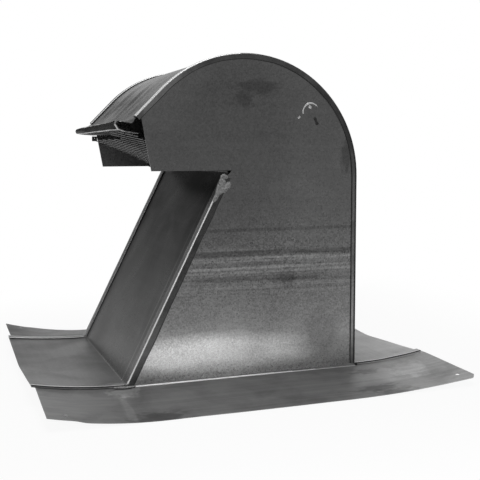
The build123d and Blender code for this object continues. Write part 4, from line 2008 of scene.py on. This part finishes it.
def cheek_finish() -> ZincFinish:
    """Finish of the cheeks' walls: a painted highlight band low down, level bands above it and a few marks.

    Returns:
        The finish.
    """
    bright_band, dark_spot = -0.4, 0.3
    levels = (
        (0.1665, 0.0022, 0.25),
        (0.142, 0.0035, 0.32),
        (0.1355, 0.003, bright_band),
        (0.1262, 0.0016, bright_band),
        (0.122, 0.0016, bright_band),
    )
    stains_and_painted_light = (
        # Painted highlight: a broad band low on the wall, lightened.
        StainOrPaintedLight.on_cheek((-0.04, 0.035), (0.125, 0.027), -1.0, 0.12),
        StainOrPaintedLight.on_cheek((-0.09, 0.042), (0.08, 0.024), -0.25, 0.12),
        StainOrPaintedLight.on_cheek((0.02, 0.085), (0.3, 0.03), 0.14, 0.1),
        *(StainOrPaintedLight.on_cheek((0.0, level), (0.4, width), dark, 0.3) for level, width, dark in levels),
        StainOrPaintedLight.on_cheek((0.025, 0.1145), (0.11, 0.0055), 0.28, 0.8),
        StainOrPaintedLight((-0.03, CHEEK_Y, 0.225), (0.09, 0.2, 0.12), 0.16, 0.1),
        StainOrPaintedLight.on_cheek((0.085, 0.05), (0.026, 0.03), 0.22, 0.4),
        StainOrPaintedLight.on_cheek((0.045, 0.113), (0.012, 0.012), dark_spot),
        StainOrPaintedLight.on_cheek((0.012, 0.315), (0.03, 0.009), dark_spot),
        StainOrPaintedLight.on_cheek((-0.005, 0.302), (0.012, 0.01), dark_spot),
        StainOrPaintedLight.on_cheek((0.113, 0.242), (0.007, 0.02), 0.35),
    )
    # The tone runs lighter low and darker high, part of the same painted highlight band.
    return ZincFinish(
        "cheek_zinc", tone=0.31, spangle=0.68, spangle_high=0.5, smudge=0.18, bands=1.5,
        rise=(1.05, 0.87, 0.05, 0.28), stains_and_painted_light=stains_and_painted_light,
    )


def strip_finish() -> ZincFinish:
    """Finish of the flange's side strips: streaky, with blotches, and a painted reflection that lightens the
    near strip's rear.

    Returns:
        The finish.
    """
    stains_and_painted_light = (
        # Painted reflection: the rear of the near strip lightened, as if it mirrored a bright backdrop.
        StainOrPaintedLight.on_flange((0.2, -0.17), (0.1, 0.14), -1.0, 0.2),
        StainOrPaintedLight.on_flange((0.175, -0.162), (0.025, 0.025), -0.4, 0.5),
        StainOrPaintedLight.on_flange((-0.137, -0.137), (0.02, 0.018), -0.7, 0.9),
        StainOrPaintedLight.on_flange((-0.17, 0.175), (0.14, 0.09), 0.6, 0.1),
        StainOrPaintedLight.on_flange((-0.12, -0.21), (0.03, 0.015), 0.45, 0.9),
        StainOrPaintedLight.on_flange((0.116, -0.197), (0.03, 0.008), 0.4, 0.9),
        StainOrPaintedLight.on_flange((0.128, -0.222), (0.03, 0.02), 0.4, 0.9),
        StainOrPaintedLight.on_flange((0.127, -0.15), (0.02, 0.008), 0.4, 0.9),
        StainOrPaintedLight.on_flange((-0.144, -0.19), (0.006, 0.05), -0.3, 0.4),
    )
    return ZincFinish(
        "strip_zinc", tone=0.275, metal=0.4, roughness=0.42, spangle=0.12, streak=0.7, smudge=0.45,
        smudge_size=0.05, stains_and_painted_light=stains_and_painted_light,
    )


def wrap_finishes() -> list[ZincFinish]:
    """Finishes of the hood, the throat and the aprons.

    Returns:
        The finishes.
    """
    # Darker across the low end of the hood, above the hem, and in a small ragged patch near the side.
    hood_darkening = (
        StainOrPaintedLight((-0.115, 0.0, 0.29), (0.04, 0.3, 0.036), 0.75, 0.25),
        StainOrPaintedLight((-0.1, -0.06, 0.3), (0.03, 0.035, 0.02), 0.3, 0.9),
    )
    throat_line = StainOrPaintedLight((-0.1, -0.1, 0.12), (0.4, 0.0016, 0.4), -0.6, 0.0)
    # Painted reflection: the rear apron lightened, as if it mirrored a bright backdrop; and a small
    # lightened patch at the near throat's foot.
    apron_painted_reflection_and_stains = (
        StainOrPaintedLight.on_flange((0.2, 0.0), (0.09, 0.3), -2.4, 0.1),
        StainOrPaintedLight.on_flange((-0.137, -0.122), (0.016, 0.014), -0.7, 0.9),
    )
    return [
        ZincFinish("hood_zinc", press=Stretch.ALONG_Y, spangle=0.1, edge_tint=0.7, stains_and_painted_light=hood_darkening),
        # The throat darkens towards the top: painted shade under the mouth.
        ZincFinish(
            "throat_zinc", press=Stretch.ALONG_Y, spangle=0.1, edge_tint=0.6, smudge=0.35,
            rise=(1.1, 0.35, 0.03, 0.23), stains_and_painted_light=(throat_line,),
        ),
        ZincFinish(
            "apron_zinc", tone=0.19, metal=0.4, roughness=0.42, press=Stretch.ALONG_Y, spangle=0.12,
            streak=0.4, smudge=0.35, smudge_size=0.06, stains_and_painted_light=apron_painted_reflection_and_stains,
        ),
    ]


def edge_finishes() -> list[ZincFinish]:
    """Finishes of the seams, their bends and lips, the hem and the screen.

    Returns:
        The finishes.
    """
    # Painted light on the near lips: lighter high on the hood's front, painted shade round the back of the
    # arc, and lighter low on the back edge.
    lip_painted_light_and_shade = (
        StainOrPaintedLight((-0.1, -0.128, 0.31), (0.06, 0.03, 0.04), -0.9, 0.2),
        StainOrPaintedLight((0.1, -0.128, 0.285), (0.06, 0.1, 0.05), 0.35, 0.2),
        StainOrPaintedLight((0.125, -0.128, 0.12), (0.03, 0.1, 0.12), -0.5, 0.2),
    )
    # Painted highlight: the far end of the hem's lower layer lightened.
    hem_glint = StainOrPaintedLight((-0.125, 0.12, 0.269), (0.04, 0.09, 0.006), -9.0, 0.2)
    return [
        ZincFinish("seam_zinc", tone=0.24, spangle=0.2, smudge_size=0.02),
        # Bright bends: partly wear on the folds, partly a painted highlight where the bends catch the lamps;
        # also the dab's painted highlights.
        ZincFinish(
            "worn_bend_and_painted_highlight", tone=0.9, metal=0.4, roughness=0.35, spangle=0.0, smudge=0.1, streak=0.1,
            unevenness=0.0,
        ),
        ZincFinish("lip_zinc", tone=0.2, spangle=0.2, smudge=0.5, smudge_size=0.02, stains_and_painted_light=lip_painted_light_and_shade),
        # Very dark, nearly matt finish: painted shade over the hem's nose and lower layer, and over the far
        # seam's top layer.
        ZincFinish(
            "hem_shade", tone=0.016, metal=0.0, roughness=0.75, shine=0.12, spangle=0.1,
            smudge_size=0.03, stains_and_painted_light=(hem_glint,),
        ),
        ZincFinish("throat_lip", tone=0.12, spangle=0.2, smudge=0.5, smudge_size=0.02),
        # Dark finish: dirt, and painted shade in the gaps under folds and along the lips' edges; also the
        # drip, the painted shadow at the near cheek's foot and the clip.
        ZincFinish("grime_and_painted_shade", tone=0.05, metal=0.3, roughness=0.7, spangle=0.2),
        ZincFinish("screen_zinc", tone=0.16, roughness=0.5, spangle=0.1),
    ]


def duct_back_x(middle_z: float) -> float:
    """Back of the duct in millimetres, read from the frame's heel sheet above its middle."""
    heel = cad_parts["heel_sheet"]
    return max(v.co.x for v in heel.data.vertices if v.co.z > middle_z) / MM


def screen_ends() -> tuple[np.ndarray, np.ndarray]:
    """Middles of the screen's ends in millimetres, read from the frame's screen.

    Returns:
        Its lower end and its upper end.
    """
    corners = np.array([v.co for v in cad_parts["screen"].data.vertices]) / MM
    low = np.array([corners[:, 0].max(), 0.0, corners[:, 2].min()])
    return low, np.array([corners[:, 0].min(), 0.0, corners[:, 2].max()])


def main() -> None:
    """Build the vent's sheets, its small trim and its screen, and the studio round them."""
    logging.basicConfig(level=logging.INFO, format="%(name)s: %(message)s")
    cad_low, cad_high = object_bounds()
    back_x = duct_back_x((cad_high[2] + cad_low[2]) / 2)
    log.info("back of the duct at %.2f mm", back_x)
    form = VentForm(back_x)
    effects = SurfaceEffects()
    finishes = [cheek_finish(), strip_finish(), *wrap_finishes(), *edge_finishes(), SealantFinish()]
    zinc = {finish.name: finish.build(effects) for finish in finishes}
    folds = [zinc[name] for name in ("apron_zinc", "seam_zinc", "worn_bend_and_painted_highlight")]
    cheek = [zinc[name] for name in ("cheek_zinc", "strip_zinc", "worn_bend_and_painted_highlight")]
    heel_wrap = HeelSheet(form).build(
        [zinc["hood_zinc"], *folds, zinc["lip_zinc"], zinc["grime_and_painted_shade"], zinc["hem_shade"]]
    )
    place_on_vent(heel_wrap, "wrapper_galvanised", "heel_sheet")
    throat_wrap = ThroatSheet(form).build([zinc["throat_zinc"], *folds, zinc["throat_lip"], zinc["grime_and_painted_shade"]])
    place_on_vent(throat_wrap, "wrapper_galvanised", "throat_sheet")
    near = Cheek(form, Side.NEAR, (12.5, 9.5)).build("near_side", cheek)
    place_on_vent(near, "cheek_galvanised", "near_cheek")
    far = Cheek(form, Side.FAR, (17.0, 15.0)).build("far_side", cheek)
    place_on_vent(far, "cheek_galvanised", "far_cheek")
    SmallTrim(zinc["sealant"], zinc["worn_bend_and_painted_highlight"], zinc["grime_and_painted_shade"]).build()
    place_on_vent(MouthScreen(*screen_ends()).build(zinc["screen_zinc"]), "screen_steel", "screen")
    Studio(back_x * MM).build()


if __name__ == "__main__":
    main()
